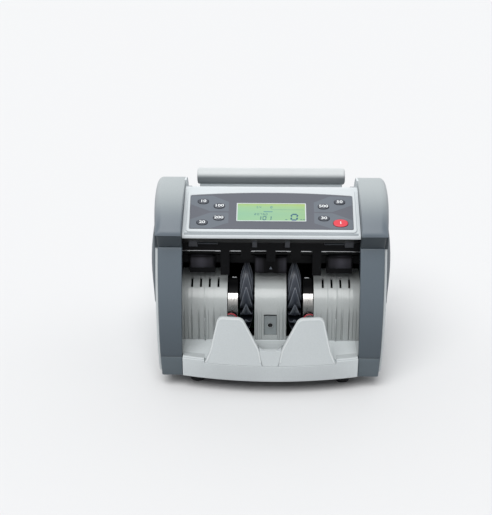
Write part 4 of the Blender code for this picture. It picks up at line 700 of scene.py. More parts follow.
def panel_point(side, level, run, lift):
    z = mix(PANEL_BOTTOM, CREASE, level)
    start = column_y(min(z, BAND_BOTTOM)) + 0.0045
    y = mix(start, PANEL_REAR_Y, run)
    fade = mix(0.3, 1, math.sin(min((z - PANEL_BOTTOM) / 0.067, 1) * math.pi / 2))
    rise = math.sin(min(run * 2, 1) * math.pi / 2)
    fall = 1 - 0.45 * max(run * 2 - 1, 0) ** 2
    draw = 1 - 0.4 * max(level * 2 - 1, 0) ** 2
    return (side * (column_x(z) + 0.0028 + 0.007 * fade * rise * fall * draw + lift), y, z)


def skin(name, side, low_level, high_level, low_run, high_run, low_lift, lift_at, rows, cols):
    outer, inner = [], []
    for i in range(rows + 1):
        level = mix(low_level, high_level, i / rows)
        outer.append([panel_point(side, level, mix(low_run, high_run, j / cols),
                                  lift_at(i / rows, j / cols)) for j in range(cols + 1)])
        inner.append([panel_point(side, level, mix(low_run, high_run, j / cols), low_lift)
                      for j in range(cols + 1)])
    mask = [[True] * cols for _ in range(rows)]
    return masked_sheet(name, outer, inner, mask)


def side_parts(side):
    name = side_name("side_panel", side)

    def edge(up, back):
        near = min(up, 1 - up) * 0.15, min(back, 1 - back) * 0.2
        return -0.0006 * max(1 - min(near) / 0.0012, 0) ** 2

    put(name + "_skin", skin(name, side, 0, 1, 0, 1, -WALL, edge, 70, 90), pale, "casing",
        [name], angle=40)
    name = side_name("side_grip", side)

    def swell(up, back):
        rim = min(up * 0.081, (1 - up) * 0.081, back * 0.12, (1 - back) * 0.12)
        round_off = math.sqrt(max(1 - max(1 - rim / 0.0016, 0) ** 2, 0))
        near = math.sin(min(back / 0.22, 1) * math.pi / 2) * (1 - back) ** 1.2
        dome = 0.0045 * math.sin(up * math.pi) ** 0.8 * near
        return GAP + (0.0008 + dome) * mix(0.25, 1, round_off)

    put(name + "_skin", skin(name, side, 0.46, 1, 0.1, 0.9, GAP, swell, 60, 80), grip_grey,
        "casing", [name], angle=40)

    def nose(up, back):
        rim = min(up * 0.0172, (1 - up) * 0.0172, back * 0.018)
        round_off = math.sqrt(max(1 - max(1 - rim / 0.0012, 0) ** 2, 0))
        return GAP + 0.0007 * mix(0.2, 1, round_off)

    put(name + "_nose", skin(name, side, BAND_LEVEL, 1, 0.002, 0.0985, GAP, nose, 14, 14), band_grey,
        "casing", angle=40)
    rings = []
    for i in range(15):
        level = mix(BAND_LEVEL, 1, i / 14)
        x, y, z = panel_point(side, level, 0, 0)
        near = side * (column_x(z) + GAP)
        far = x + side * 0.0009
        rings.append([(near, y - 0.0012, z), (far - side * 0.0006, y - 0.0012, z), (far, y - 0.0005, z),
                      (far, y + 0.0006, z), (x + side * GAP, y + 0.0006, z),
                      (x + side * GAP, y - GAP, z), (near, y - GAP, z)])
    put(name + "_cap", loft("cap", rings), band_grey, "casing", angle=40)


# Front cover, overlay, display and keys

def overlay_path(spread, radius, steps=6):
    """Overlay outline with rounded corners and a bowed top; always the same count."""
    half_bottom, half_top = 0.0872 + spread, 0.0880 + spread
    bottom, side = 0.0097 - spread, 0.0579 + spread
    return panel_path(half_bottom, half_top, bottom, side, 0.0041, radius, steps)


def panel_path(half_bottom, half_top, bottom, side, crown, radius, steps=6):
    corners = [(-half_bottom, bottom), (half_bottom, bottom), (half_top, side), (-half_top, side)]
    arcs = rounded(corners, radius, steps)
    size = steps + 1
    path = []
    for k in range(4):
        arc = arcs[k * size:(k + 1) * size]
        following = arcs[((k + 1) % 4) * size]
        path += arc
        extra = 24 if k % 2 == 0 else 8
        for i in range(1, extra):
            path.append(tuple(Vector(arc[-1]).lerp(Vector(following), i / extra)))
    result = []
    for x, s in path:
        up = min(max((s - bottom) / (side - bottom), 0), 1)
        bow = crown * max(1 - (x / half_top) ** 2, 0) if up > 0.9 else 0.0
        result.append((x, s + bow))
    return result


def ring_between(name, outer, inner, low, high, bevel_height=0.0):
    """Raised frame between two outlines of equal count."""
    count = len(outer)
    points = []
    for path, h in ((outer, low), (outer, high), (inner, high), (inner, low)):
        points += [on_panel(x, s, h) for x, s in path]
    faces = []
    for level in range(4):
        here, after = level * count, ((level + 1) % 4) * count
        for i in range(count):
            j = (i + 1) % count
            faces.append([here + i, here + j, after + j, after + i])
    return mesh_from(name, points, faces)


def front_cover():
    def at(s, h):
        return on_panel(0, s, h)[1:]

    outer = []
    for i in range(11):
        a = math.pi / 2 * i / 10
        outer.append(at(0.0042 * (1 - math.cos(a)), SURFACE * math.sin(a)))
    for s in (0.02, 0.04, 0.06, 0.0702):
        outer.append(at(s, SURFACE))
    top_y, top_z = at(0.0722, SURFACE)
    for i in range(1, 6):
        outer.append(at(0.0702 + 0.0004 * i, SURFACE - 0.00012 * i * i / 5))
    rear_y = -0.0100
    for i in range(1, 7):
        a = math.pi / 2 * i / 6
        outer.append((rear_y - 0.0014 * (1 - math.sin(a)), top_z - 0.0008 - 0.0014 * (1 - math.cos(a))))
    outer.append((rear_y, 0.170))
    under_y, under_z = at(0.0692, SURFACE - 0.003)
    inner = [(rear_y - 0.003, 0.170), (rear_y - 0.003, under_z), (under_y, under_z),
             at(0.0065, SURFACE - 0.003), at(0.003, 0)]
    shell = along_x("front_cover", outer + inner, -INNER, INNER)
    body = put("front_cover_shell", shell, silver, "casing", ["front_cover"], angle=32)
    soften(body, 0.0007, 3, 50)
    outer_path = panel_path(0.0910, 0.0910, 0.0055, 0.0685, 0.0, 0.0042)
    rim = ring_between("panel_rim", outer_path, overlay_path(GAP, 0.0016), SURFACE - 0.0006,
                       PLATFORM)
    put("panel_rim", rim, silver, "casing", bevel=0.0007, segments=4, angle=50)
    # Painted shade: a darker strip along the cover's nose stands for the shade of a recess.
    band = rounded([(-0.0925, 0.0024), (0.0925, 0.0024), (0.0925, 0.0052), (-0.0925, 0.0052)], 0.0008, 3)
    put("cover_shade_band", plate_at("step", band, SURFACE - 0.0006, SURFACE + 0.0001), step_shade_grey, "casing",
        bevel=0.0001, segments=2)


def overlay():
    plate = plate_at("overlay", overlay_path(0.0, 0.0014), OVERLAY_H, OVERLAY_TOP)
    put("overlay_sheet", plate, film, "casing", ["control_overlay"], bevel=0.00015,
        segments=2)
    for side in (-1, 1):
        upper = [(0.0878, 0.0568), (0.0640, 0.0575), (0.0460, 0.0484), (0.0460, 0.0346),
                 (0.0655, 0.0344), (0.0874, 0.0446)]
        lower = [(0.0655, 0.0330), (0.0460, 0.0330), (0.0460, 0.0183), (0.0640, 0.0108),
                 (0.0868, 0.0104), (0.0871, 0.0228)]
        for i, zone in enumerate((upper, lower)):
            outline = [(side * x, s) for x, s in (zone if side > 0 else zone[::-1])]
            inlay = plate_at("zone", rounded(outline, 0.0006, 3), OVERLAY_TOP - 0.0002,
                             OVERLAY_TOP + 0.00005)
            put(side_name(f"overlay_zone_{i}", side), inlay, film_zone, "casing")


def capsule(x, s, half_length, half_height, count=48, power=2.3):
    """Superellipse outline of a key."""
    outline = []
    for i in range(count):
        a = 2 * math.pi * i / count
        c, d = math.cos(a), math.sin(a)
        outline.append((x + half_length * math.copysign(abs(c) ** (2 / power), c),
                        s + half_height * math.copysign(abs(d) ** (2 / power), d)))
    return outline


def number_mesh(name, text, x, s, h, size, stretch=1.0):
    """Plain number as a thin mesh lying on the panel's slope."""
    curve = bpy.data.curves.new(name, "FONT")
    curve.body = text
    curve.size = size
    curve.align_x = "CENTER"
    curve.align_y = "CENTER"
    curve.extrude = 0.00004
    curve.offset = size * 0.022
    curve.resolution_u = 4
    temporary = bpy.data.objects.new(name, curve)
    bpy.context.scene.collection.objects.link(temporary)
    bpy.context.view_layer.update()
    mesh = bpy.data.meshes.new_from_object(
        temporary.evaluated_get(bpy.context.evaluated_depsgraph_get()))
    bpy.data.objects.remove(temporary)
    bpy.data.curves.remove(curve)
    for v in mesh.vertices:
        v.co = on_panel(x + v.co.x * stretch, s + v.co.y, h + v.co.z)
    return mesh


KEYS = [("key_1", -0.0740, 0.0488, "10"), ("key_2", -0.0564, 0.0423, "100"),
        ("key_3", -0.0564, 0.0252, "200"), ("key_4", -0.0740, 0.0184, "20"),
        ("key_5", 0.0564, 0.0423, "500"), ("key_6", 0.0740, 0.0488, "50"),
        ("key_7", 0.0564, 0.0252, "30"), ("key_start", 0.0740, 0.0184, "1")]


def keys():
    top = OVERLAY_TOP + 0.0009
    for name, x, s, label in KEYS:
        start = name == "key_start"
        half = (0.0078, 0.0052) if start else (0.0058, 0.0036)
        rings = []
        for h, inset in ((0.0022, 0), (top - 0.0006, 0), (top - 0.0003, 0.0001),
                         (top - 0.0001, 0.0004), (top, 0.0009), (top + 0.00005, 0.0022)):
            rings.append([on_panel(px, ps, h)
                          for px, ps in capsule(x, s, half[0] - inset, half[1] - inset)])
        put(name + "_cap", loft(name, rings), key_red if start else key_dark, name,
            [name], angle=50)
        mesh = number_mesh(name, label, x, s, top + 0.00006, 0.0050, 1.35)
        put(name + "_number", mesh, print_white, name)
        gap = plate_at("ring", capsule(x, s, half[0] + 0.0004, half[1] + 0.0004),
                       OVERLAY_TOP - 0.0002, OVERLAY_TOP + 0.00008)
        put(name + "_well", gap, black, "casing")


SEGMENTS = {"0": "abcdef", "1": "bc", "2": "abged", "3": "abgcd", "4": "fgbc", "5": "afgcd",
            "6": "afgedc", "7": "abc", "8": "abcdefg", "9": "abcdfg"}


def digit(char, x, s, width, height, thick):
    """Seven segment digit as outlines of (x, s), leaning slightly."""
    half = height / 2
    gap = thick * 0.15
    bars = {"a": (0, height, True), "d": (0, 0, True), "g": (0, half, True),
            "f": (0, half, False), "e": (0, 0, False), "b": (width, half, False),
            "c": (width, 0, False)}
    outlines = []
    for letter in SEGMENTS[char]:
        bx, bs, flat = bars[letter]
        t = thick / 2
        if flat:
            shape = [(gap, 0), (gap + t, t), (width - gap - t, t), (width - gap, 0),
                     (width - gap - t, -t), (gap + t, -t)]
        else:
            shape = [(0, gap), (-t, gap + t), (-t, half - gap - t), (0, half - gap),
                     (t, half - gap - t), (t, gap + t)]
        outlines.append([(x + bx + px + (bs + ps) * 0.08, s + bs + ps) for px, ps in shape])
    return outlines


def display():
    half, low_s, high_s = 0.0375, 0.0206, 0.0467
    base = OVERLAY_H
    screen = [(-half, low_s), (half, low_s), (half, high_s), (-half, high_s)]
    plate = plate_at("screen", rounded(screen, 0.0008, 4), base, base + 0.00072)
    put("display_screen", plate, lcd, "casing", ["display_window"])
    outer = rounded(screen, 0.0010, 4)
    inner = rounded([(-half + 0.0011, low_s + 0.0009), (half - 0.0011, low_s + 0.0009),
                     (half - 0.0011, high_s - 0.0009), (-half + 0.0011, high_s - 0.0009)], 0.0005, 4)
    rim = ring_between("display_rim", outer, inner, base + 0.0004, base + 0.0010)
    put("display_rim", rim, silver, "casing", bevel=0.0001, segments=2, angle=50)
    dark, light = [], []
    for i, char in enumerate("101"):
        dark += digit(char, -0.0146 + i * 0.0055, 0.0226, 0.0031, 0.0052, 0.0011)
    dark += digit("0", 0.0212, 0.0226, 0.0062, 0.0082, 0.0018)
    for i, char in enumerate("20750"):
        dark += digit(char, -0.0180 + i * 0.0030, 0.0296, 0.0016, 0.0022, 0.0004)
    for i, char in enumerate("54"):
        light += digit(char, -0.0160 + i * 0.0030, 0.0396, 0.0017, 0.0026, 0.0005)
    light += digit("8", -0.0010, 0.0396, 0.0020, 0.0026, 0.0006)
    light.append([(-0.0084, 0.0338), (0.0014, 0.0338), (0.0014, 0.0350), (-0.0084, 0.0350)])
    light.append([(-0.0002, 0.0372), (0.0352, 0.0372), (0.0352, 0.0375), (-0.0002, 0.0375)])
    for x0 in (0.0150, 0.0310, 0.0340):
        dark.append([(x0, 0.0228), (x0 + 0.0022, 0.0228), (x0 + 0.0022, 0.0235), (x0, 0.0235)])
    for name, outlines, ink in (("display_digits", dark, segment_ink),
                                ("display_marks", light, segment_pale)):
        meshes = [plate_at("bar", o, base + 0.0006, base + 0.00076) for o in outlines]
        put(name, merge(name, meshes), ink, "casing")


# Stacker

LIP_RECESS = 0.0030  # depth of the lip's rest for the fingers' feet


def lip_y(x):
    return -0.1060 - 0.0130 * (1 - (x / INNER) ** 2)


def tray():
    rings = []
    half = INNER - GAP
    count = 60
    stations = [mix(-half, half, i / count) for i in range(count + 1)]
    for x in sorted(stations + [-0.0711, -0.0708, 0.0708, 0.0711]):
        front = lip_y(x)
        top = TRAY_TOP - (LIP_RECESS if abs(x) < 0.07095 else 0)
        outline = [(front + 0.0012, 0.0150), (front, top), (front + 0.0060, top),
                   (front + 0.0061, TRAY_TOP), (-0.0500, TRAY_TOP),
                   (-0.0500, TRAY_TOP - 0.003), (front + 0.0120, TRAY_TOP - 0.003),
                   (front + 0.0100, TRAY_TOP - 0.0070), (front + 0.0042, TRAY_TOP - 0.0070),
                   (front + 0.0042, 0.0150)]
        ring = rounded(outline, [0.0009, 0.0006, 0, 0, 0, 0, 0, 0, 0, 0], 5)
        rings.append([(x, y, z) for y, z in ring])
    put("stacker_tray_shell", loft("tray", rings), tray_painted_pale, "casing", ["stacker_tray"],
        angle=45)
    for side in (-1, 1):
        low, high = sorted((side * half, side * 0.0990))
        outline = [(-0.0950, TRAY_TOP - 0.0027), (-0.0503, TRAY_TOP - 0.0027),
                   (-0.0503, TRAY_TOP - 0.00005), (-0.0950, TRAY_TOP - 0.00005)]
        put(side_name("tray_wing", side), along_x("wing", outline, low, high), pale, "casing",
            bevel=0.0003, segments=2)


def bowed_piece(name, outline, thickness, lean, lift=0.0):
    """Outline of (x, z) given a thickness, bent round the lip's bow and leaning back."""
    shape = bmesh.new()
    front = [shape.verts.new((x, 0, z)) for x, z in outline]
    face = shape.faces.new(front)
    result = bmesh.ops.extrude_face_region(shape, geom=[face])
    for item in result["geom"]:
        if isinstance(item, bmesh.types.BMVert):
            item.co.y = thickness
    x = -0.069
    while x < 0.070:
        geom = shape.verts[:] + shape.edges[:] + shape.faces[:]
        bmesh.ops.bisect_plane(shape, geom=geom, plane_co=(x, 0, 0), plane_no=(1, 0, 0))
        x += 0.003
    foot = TRAY_TOP + GAP
    for v in shape.verts:
        v.co.y += lip_y(v.co.x) + GAP + max(v.co.z - foot, 0) * lean + lift
    bmesh.ops.recalc_face_normals(shape, faces=shape.faces)
    mesh = bpy.data.meshes.new(name)
    shape.to_mesh(mesh)
    shape.free()
    return mesh


def finger_rim(outline, foot):
    """Raised bead along a finger's edge, from one end of its foot round to the other, in a paler plastic as
    a painted highlight.
    """
    path = []
    count = len(outline)
    low = min(z for _, z in outline)
    for i in range(count):
        here, after = Vector(outline[i]), Vector(outline[(i + 1) % count])
        if max(here.y, after.y) < low + 0.0016:
            continue
        parts = max(int((after - here).length / 0.003), 1)
        for k in range(parts):
            spot = here.lerp(after, k / parts)
            if not path or (spot - path[-1]).length > 0.0002:
                path.append(spot)
    turn = 0.0
    for i in range(1, len(path) - 1):
        a, b = path[i] - path[i - 1], path[i + 1] - path[i]
        turn += a.x * b.y - a.y * b.x
    sign = 1 if turn > 0 else -1
    rings = []
    for i, spot in enumerate(path):
        run = (path[min(i + 1, len(path) - 1)] - path[max(i - 1, 0)]).normalized()
        inward = Vector((-run.y, run.x)) * sign
        ring = []
        for reach, depth in ((-0.0002, 0.0022), (-0.0001, 0.0006), (0.0004, -0.0001), (0.0011, -0.0002),
                             (0.0016, 0.0001), (0.0018, 0.0012)):
            x, z = spot + inward * reach
            ring.append((x, lip_y(x) + GAP + max(z - foot, 0) * 0.2 + depth, z))
        rings.append(ring)
    return loft("finger_rim", rings)


def stop():
    foot = TRAY_TOP + GAP
    sole = foot - LIP_RECESS
    for side in (-1, 1):
        corners = [(0.0088, sole), (0.0706, sole), (0.0690, sole + 0.0026),
                   (0.0645, foot + 0.0110), (0.0562, 0.0844),
                   (0.0300, 0.0844), (0.0128, 0.0530), (0.0116, 0.0490)]
        radii = [0.0006, 0.0005, 0.006, 0.020, 0.0075, 0.0085, 0.006, 0.003]
        outline = [(side * x, z) for x, z in rounded(corners, radii, 8)]
        mesh = bowed_piece("finger", outline, 0.005, 0.2)
        put(side_name("stacker_finger", side), mesh, pale, "casing", ["stacker_stop"],
            bevel=0.0020, segments=5, angle=40)
        put(side_name("finger_rim", side), finger_rim(outline, foot), rim_highlight_pale, "casing",
            angle=50)
    corners = [(-0.0083, sole), (0.0083, sole), (0.0112, 0.0480), (0.0118, 0.0508),
               (-0.0118, 0.0508), (-0.0112, 0.0480)]
    outline = rounded(corners, [0.0022, 0.0022, 0.002, 0.0026, 0.0026, 0.002], 6)
    mesh = bowed_piece("tongue", outline, 0.005, 0.2)
    put("stacker_tongue", mesh, pale, "casing", bevel=0.0023, segments=8, angle=40)
    rings = []
    for i in range(17):
        share = i / 16
        y = mix(-0.0640, -0.1148, share)
        rise = 0.0004 + 0.0126 * share ** 1.7
        lift = 0.0050 * math.sin(math.pi * min(share * 1.1, 1) * 0.5)
        half = mix(0.0175, 0.0118, min(share * 1.2, 1))
        ring = [(-half, y, foot)]
        for k in range(17):
            x = mix(-1.0, 1.0, k / 16)
            ring.append((x * half, y, foot + rise + lift * abs(x) ** 2.4))
        ring.append((half, y, foot))
        rings.append(ring)
    put("tongue_ramp", loft("ramp", rings), pale, "casing", angle=50)
    for side in (-1, 1):
        rings = []
        for i in range(15):
            x = side * mix(0.0712, 0.0944, i / 14)
            front = lip_y(x) + 0.0008
            ring = [(x, front + 0.0165, TRAY_TOP - 0.0006), (x, front, TRAY_TOP - 0.0006),
                    (x, front, TRAY_TOP + 0.0012), (x, front + 0.0008, TRAY_TOP + 0.0019),
                    (x, front + 0.0022, TRAY_TOP + 0.0020)]
            for k in range(1, 8):
                run = k / 8
                ring.append((x, front + 0.0022 + 0.0143 * run, TRAY_TOP + 0.0020 * (1 - run) ** 2))
            rings.append(ring)
        put(side_name("tray_sill", side), loft("sill", rings), pale, "casing", angle=40)


def arc_profile(start, setback, steps, tail):
    """Outer and inner points of a curved plate in the YZ plane, from its top to its foot."""
    outer, inner = [], []
    radius = PLATE_R - setback
    if tail:
        outer.append((PLATE_Y + tail, PLATE_Z + radius))
        inner.append((PLATE_Y + tail, PLATE_Z + radius - WALL))
    for i in range(steps + 1):
        a = mix(start, math.pi, i / steps)
        for line, reach in ((outer, radius), (inner, radius - WALL)):
            line.append((PLATE_Y + reach * math.cos(a), PLATE_Z + reach * math.sin(a)))
    foot_y = PLATE_Y - radius - 0.0015
    for i in range(1, 7):
        share = i / 6
        z = mix(PLATE_Z, TRAY_TOP + GAP, share)
        y = mix(PLATE_Y - radius, foot_y, share)
        outer.append((y, z))
        inner.append((y + WALL, z))
    return outer, inner


def groove(x, marks):
    """Depth of fine ribs and grooves at x, from (place, half width, height) marks."""
    lift = 0.0
    for place, half, height in marks:
        lift += 1.6 * height * max(1 - abs(x - place) / half, 0)
    return lift


def plate(side, low, high, marks, mask_at, name, node):
    stations = {low, high}
    for place, half, _ in marks:
        stations.update((place - half, place, place + half))
    stations.update(mix(low, high, i / 24) for i in range(25))
    for edge in mask_at.edges:
        stations.update(edge)
    columns = [x for x in sorted(stations) if low <= x <= high]
    columns = [x for i, x in enumerate(columns) if i == 0 or x - columns[i - 1] > 1e-5]
    outer_line, inner_line = arc_profile(math.pi / 2, 0, 30, 0.010)
    outer, inner = [], []
    for i, (o, n) in enumerate(zip(outer_line, inner_line)):
        direction = (Vector(o) - Vector(n)).normalized()
        grown = 0.08 + 0.92 * min(max((0.078 - o[1]) / 0.016, 0), 1)
        outer.append([(side * x, *(Vector(o) + direction * groove(x, marks) * grown))
                      for x in columns])
        inner.append([(side * x, *n) for x in columns])
    mask = []
    for i in range(len(outer_line) - 1):
        y = (outer_line[i][0] + outer_line[i + 1][0]) / 2
        z = (outer_line[i][1] + outer_line[i + 1][1]) / 2
        mask.append([not mask_at((columns[j] + columns[j + 1]) / 2, y, z)
                     for j in range(len(columns) - 1)])
    mesh = masked_sheet(name, outer, inner, mask)
    put(name, mesh, plate_painted_pale, "casing", [node], angle=30)


class Slots:
    """Slot cut-outs near the top of a side plate."""

    def __init__(self, width, first, pitch, count):
        self.edges = [(first + i * pitch - width / 2, first + i * pitch + width / 2)
                      for i in range(count)]

    def __call__(self, x, y, z):
        inside = any(a < x < b for a, b in self.edges)
        return inside and -0.0465 < y < -0.0352 and z > PLATE_Z


class Window:
    """Sensor window low in the centre plate."""

    edges = [(-0.0072, 0.0072)]

    def __call__(self, x, y, z):
        return abs(x) < 0.0072 and 0.0420 < z < 0.0655


def plates():
    width = FRAME_X - 0.0005 - 0.048
    slots = Slots(0.0023, 0.048 + width * 0.1961, width * 0.1903, 4)
    rib = 0.048 + width * 0.4816
    marks = [(rib, 0.0012, 0.0024), (rib - 0.0098, 0.0010, 0.0016), (rib + 0.0062, 0.0005, -0.0005),
             (rib + 0.0074, 0.0006, 0.0006), (rib + 0.0140, 0.0006, 0.0005),
             (rib + 0.0150, 0.0005, -0.0005), (rib + 0.0185, 0.0006, 0.0005),
             (rib + 0.0232, 0.0006, -0.0006), (rib - 0.0170, 0.0006, 0.0004),
             (rib - 0.0040, 0.0005, -0.0004), (rib - 0.0215, 0.0005, -0.0004)]
    for side in (-1, 1):
        plate(side, 0.0480, 0.0995, marks, slots, side_name("stacker_plate", side) + "_sheet",
              side_name("stacker_plate", side))
        face = PLATE_Y - PLATE_R
        # The rib is drawn in the paler rim plastic: a painted highlight along it.
        block(side_name("plate_rib", side), (side * rib - 0.0007, face - 0.0034, TRAY_TOP + GAP),
              (side * rib + 0.0007, face + 0.0010, 0.0640), rim_highlight_pale, "casing", 0.0006)
    marks = [(-0.0163, 0.0005, -0.0005), (-0.0146, 0.0006, 0.0006), (-0.0118, 0.0006, 0.0004),
             (-0.0095, 0.0005, -0.0004), (0.0086, 0.0005, -0.0004), (0.0102, 0.0006, 0.0006),
             (0.0132, 0.0006, 0.0006), (0.0150, 0.0005, -0.0005), (0.0168, 0.0004, 0.0005)]
    plate(1, -0.0176, 0.0176, marks, Window(), "stacker_plate_centre_sheet", "stacker_plate_centre")
    face = PLATE_Y - PLATE_R + 0.0012
    back = [(-0.0069, 0.0423), (0.0069, 0.0423), (0.0069, 0.0652), (-0.0069, 0.0652)]
    outline = rounded(back, 0.0006, 3)
    body = loft("sensor", [[(x, y, z) for x, z in outline] for y in (face, face + 0.008)])
    put("stack_sensor_block", body, soft_grey, "casing", ["stack_sensor"], bevel=0.0003)
    lens = turned("lens", [(face + 0.001, 0.0024), (face - 0.0003, 0.0024), (face - 0.0008, 0.0018),
                           (face - 0.0011, 0.0010), (face - 0.0012, 0.0003)], (0, 0, 0.0545),
                  axis="y", count=32)
    put("stack_sensor_lens", lens, gloss_black, "casing", angle=50)
    steps = [(face + 0.001, 0.0034), (face - 0.0009, 0.0034), (face - 0.0012, 0.0032),
             (face - 0.0012, 0.0027), (face - 0.0009, 0.0025), (face + 0.001, 0.0025)]
    count = 32
    points = [(r * math.cos(2 * math.pi * i / count), y, 0.0545 + r * math.sin(2 * math.pi * i / count))
              for y, r in steps for i in range(count)]
    faces = [[k * count + i, k * count + (i + 1) % count,
              ((k + 1) % 6) * count + (i + 1) % count, ((k + 1) % 6) * count + i]
             for k in range(6) for i in range(count)]
    put("stack_sensor_ring", mesh_from("ring", points, faces), chrome, "casing", angle=50)


def brackets():
    for side in (-1, 1):
        outer, inner = arc_profile(math.radians(142), 0.0015, 16, 0)
        ring = outer + inner[::-1]
        low, high = sorted((side * 0.0362, side * 0.0474))
        mesh = along_x("bracket", ring, low, high)
        name = side_name("sensor_bracket", side)
        put(name + "_strip", mesh, bright, "casing", [name], bevel=0.0003, segments=2)
        shroud_outer, shroud_inner = arc_profile(math.radians(100), 0.0048, 18, 0)
        ring = shroud_outer[:14] + shroud_inner[:14][::-1]
        mesh = along_x("shroud", ring, low + 0.0002, high - 0.0002)
        put(name + "_shroud", mesh, black, "casing", bevel=0.0003, segments=2)
        for k, (material, rise) in enumerate(((wire_red, -0.0016), (black, 0.0006))):
            curve = bpy.data.curves.new("wire", "CURVE")
            curve.dimensions = "3D"
            curve.bevel_depth = 0.0007
            curve.bevel_resolution = 4
            curve.use_fill_caps = True
            spline = curve.splines.new("BEZIER")
            spots = [(side * 0.0368, -0.0592, 0.0650 + rise), (side * 0.0392, -0.0598, 0.0684 + rise),
                     (side * 0.0430, -0.0600, 0.0702 + rise), (side * 0.0472, -0.0590, 0.0690 + rise)]
            spline.bezier_points.add(len(spots) - 1)
            for point, spot in zip(spline.bezier_points, spots):
                point.co = spot
                point.handle_left_type = point.handle_right_type = "AUTO"
            temporary = bpy.data.objects.new("wire", curve)
            bpy.context.scene.collection.objects.link(temporary)
            bpy.context.view_layer.update()
            mesh = bpy.data.meshes.new_from_object(
                temporary.evaluated_get(bpy.context.evaluated_depsgraph_get()))
            bpy.data.objects.remove(temporary)
            put(side_name(f"sensor_wire_{k}", side), mesh, material, "casing")


def impeller(side):
    """Hub and swept fins: long leaves that trail upwards at the front and narrow to a point."""
    pieces, edges = [], []
    count, steps = 14, 14
    for fin in range(count):
        rings, left, right = [], [], []
        for k in range(steps + 1):
            share = k / steps
            radius = mix(IMPELLER_HUB - 0.0008, IMPELLER_TIP, share)
            angle = 2 * math.pi * fin / count - math.radians(62) * share
            half = mix(0.0076, 0.0007, share ** 2.2)
            thick = mix(0.0009, 0.0007, share) / radius
            ridge = 0.0013 * math.sin(math.pi * share) / radius

            def spot(dx, da):
                a = angle + da
                return (side * 0.0268 + dx, IMPELLER_Y + radius * math.cos(a),
                        IMPELLER_Z + radius * math.sin(a))

            rings.append([spot(*pair) for pair in
                          ((-half, 0), (-half * 0.86, -thick), (0, -thick - ridge),
                           (half * 0.86, -thick), (half, 0), (half * 0.86, thick),
                           (0, thick + ridge), (-half * 0.86, thick))])
            for strip, sign in ((left, -1), (right, 1)):
                strip.append([spot(sign * (half - inset), lift) for inset, lift in
                              ((-0.00012, -thick * 0.7), (0.0005, -thick * 1.25),
                               (0.0005, thick * 1.25), (-0.00012, thick * 0.7))])
        pieces.append(loft("fin", rings))
        edges += [loft("edge", strip[3:]) for strip in (left, right)]
    hub = [(-0.0076, 0.0043), (-0.0076, 0.0150), (-0.0070, 0.0160), (0.0070, 0.0160),
           (0.0076, 0.0150), (0.0076, 0.0043)]
    pieces.append(turned("hub", [(side * 0.0268 + x, r) for x, r in hub],
                         (0, IMPELLER_Y, IMPELLER_Z)))
    name = side_name("impeller", side)
    put(name + "_wheel", merge(name, pieces), fin_rubber, "impellers", [name], angle=25)
    # The paler edge strips are a painted highlight along each fin's edges.
    put(name + "_fin_edges", merge(name + "_edges", edges), fin_edge_highlight, "impellers")


# Note guides, rod and the details between them

def block(name, low, high, material, body, bevel, segments=4):
    """Box with soft edges for small fittings."""
    outline = [(low[1], low[2]), (high[1], low[2]), (high[1], high[2]), (low[1], high[2])]
    mesh = along_x(name, outline, low[0], high[0])
    return put(name, mesh, material, body, bevel=bevel, segments=segments)


def note_guides():
    for side in (-1, 1):
        low, high = sorted((side * 0.0622, side * 0.0896))
        profile = []
        for i in range(13):
            a = mix(math.radians(60), math.radians(200), i / 12)
            profile.append((-0.0408 + 0.0062 * math.cos(a), 0.1226 + 0.0102 * math.sin(a)))
        profile += [(-0.0405, 0.1135), (-0.0360, 0.1135), (-0.0360, 0.1312)]
        mesh = along_x("cheek", profile, low, high)
        put(side_name("guide_cheek", side), mesh, cheek_sheen_black, "casing", bevel=0.0016,
            segments=4, angle=40)
    low_x, high_x = -0.0174, 0.0174
    columns = 40
    outer, inner = [], []
    for z in (0.1118, 0.1124, 0.1180, 0.1240, 0.1300, 0.1306):
        row = []
        for j in range(columns + 1):
            x = mix(low_x, high_x, j / columns)
            wave = 0.0016 * math.cos(x / 0.0174 * math.pi * 2) * 0.5
            end = 0.0008 if z in (0.1118, 0.1306) else 0.0
            row.append((x, -0.0462 + wave + end, z))
        outer.append(row)
        inner.append([(x, -0.0440, z) for x, _, z in row])
    mask = [[True] * columns for _ in range(len(outer) - 1)]
    put("guide_centre_face", masked_sheet("centre_face", outer, inner, mask), centre_sheen_black, "casing",
        angle=40)
    mark = [(-0.0016, 0.1172), (0.0016, 0.1172), (0.0, 0.1202)]
    mesh = loft("mark", [[(x, y, z) for x, z in mark] for y in (-0.0472, -0.0458)])
    put("guide_arrow", mesh, film_zone, "casing")
    for side in (-1, 1):
        x = side * 0.0178
        block(side_name("guide_tab", side), (x - 0.0028, -0.0545, 0.1455),
              (x + 0.0028, -0.0520, 0.1530), tab_grey, "casing", 0.0007)
        low, high = sorted((side * 0.0580, side * 0.0800))
        rod = turned("upper_rod", [(low, 0.0013), (high, 0.0013)], (0, -0.0536, 0.1500), count=24)
        put(side_name("upper_rod", side), rod, screw_dark, "casing")
        low, high = sorted((side * 0.0800, side * 0.0900))
        block(side_name("rod_holder", side), (low, -0.0548, 0.1460), (high, -0.0520, 0.1530), tab_grey,
              "casing", 0.0008)
        x = side * 0.0400
        block(side_name("chrome_clip", side), (x - 0.0024, -0.0465, 0.1062),
              (x + 0.0024, -0.0440, 0.1074), chrome, "casing", 0.0003)


# Hopper and rear

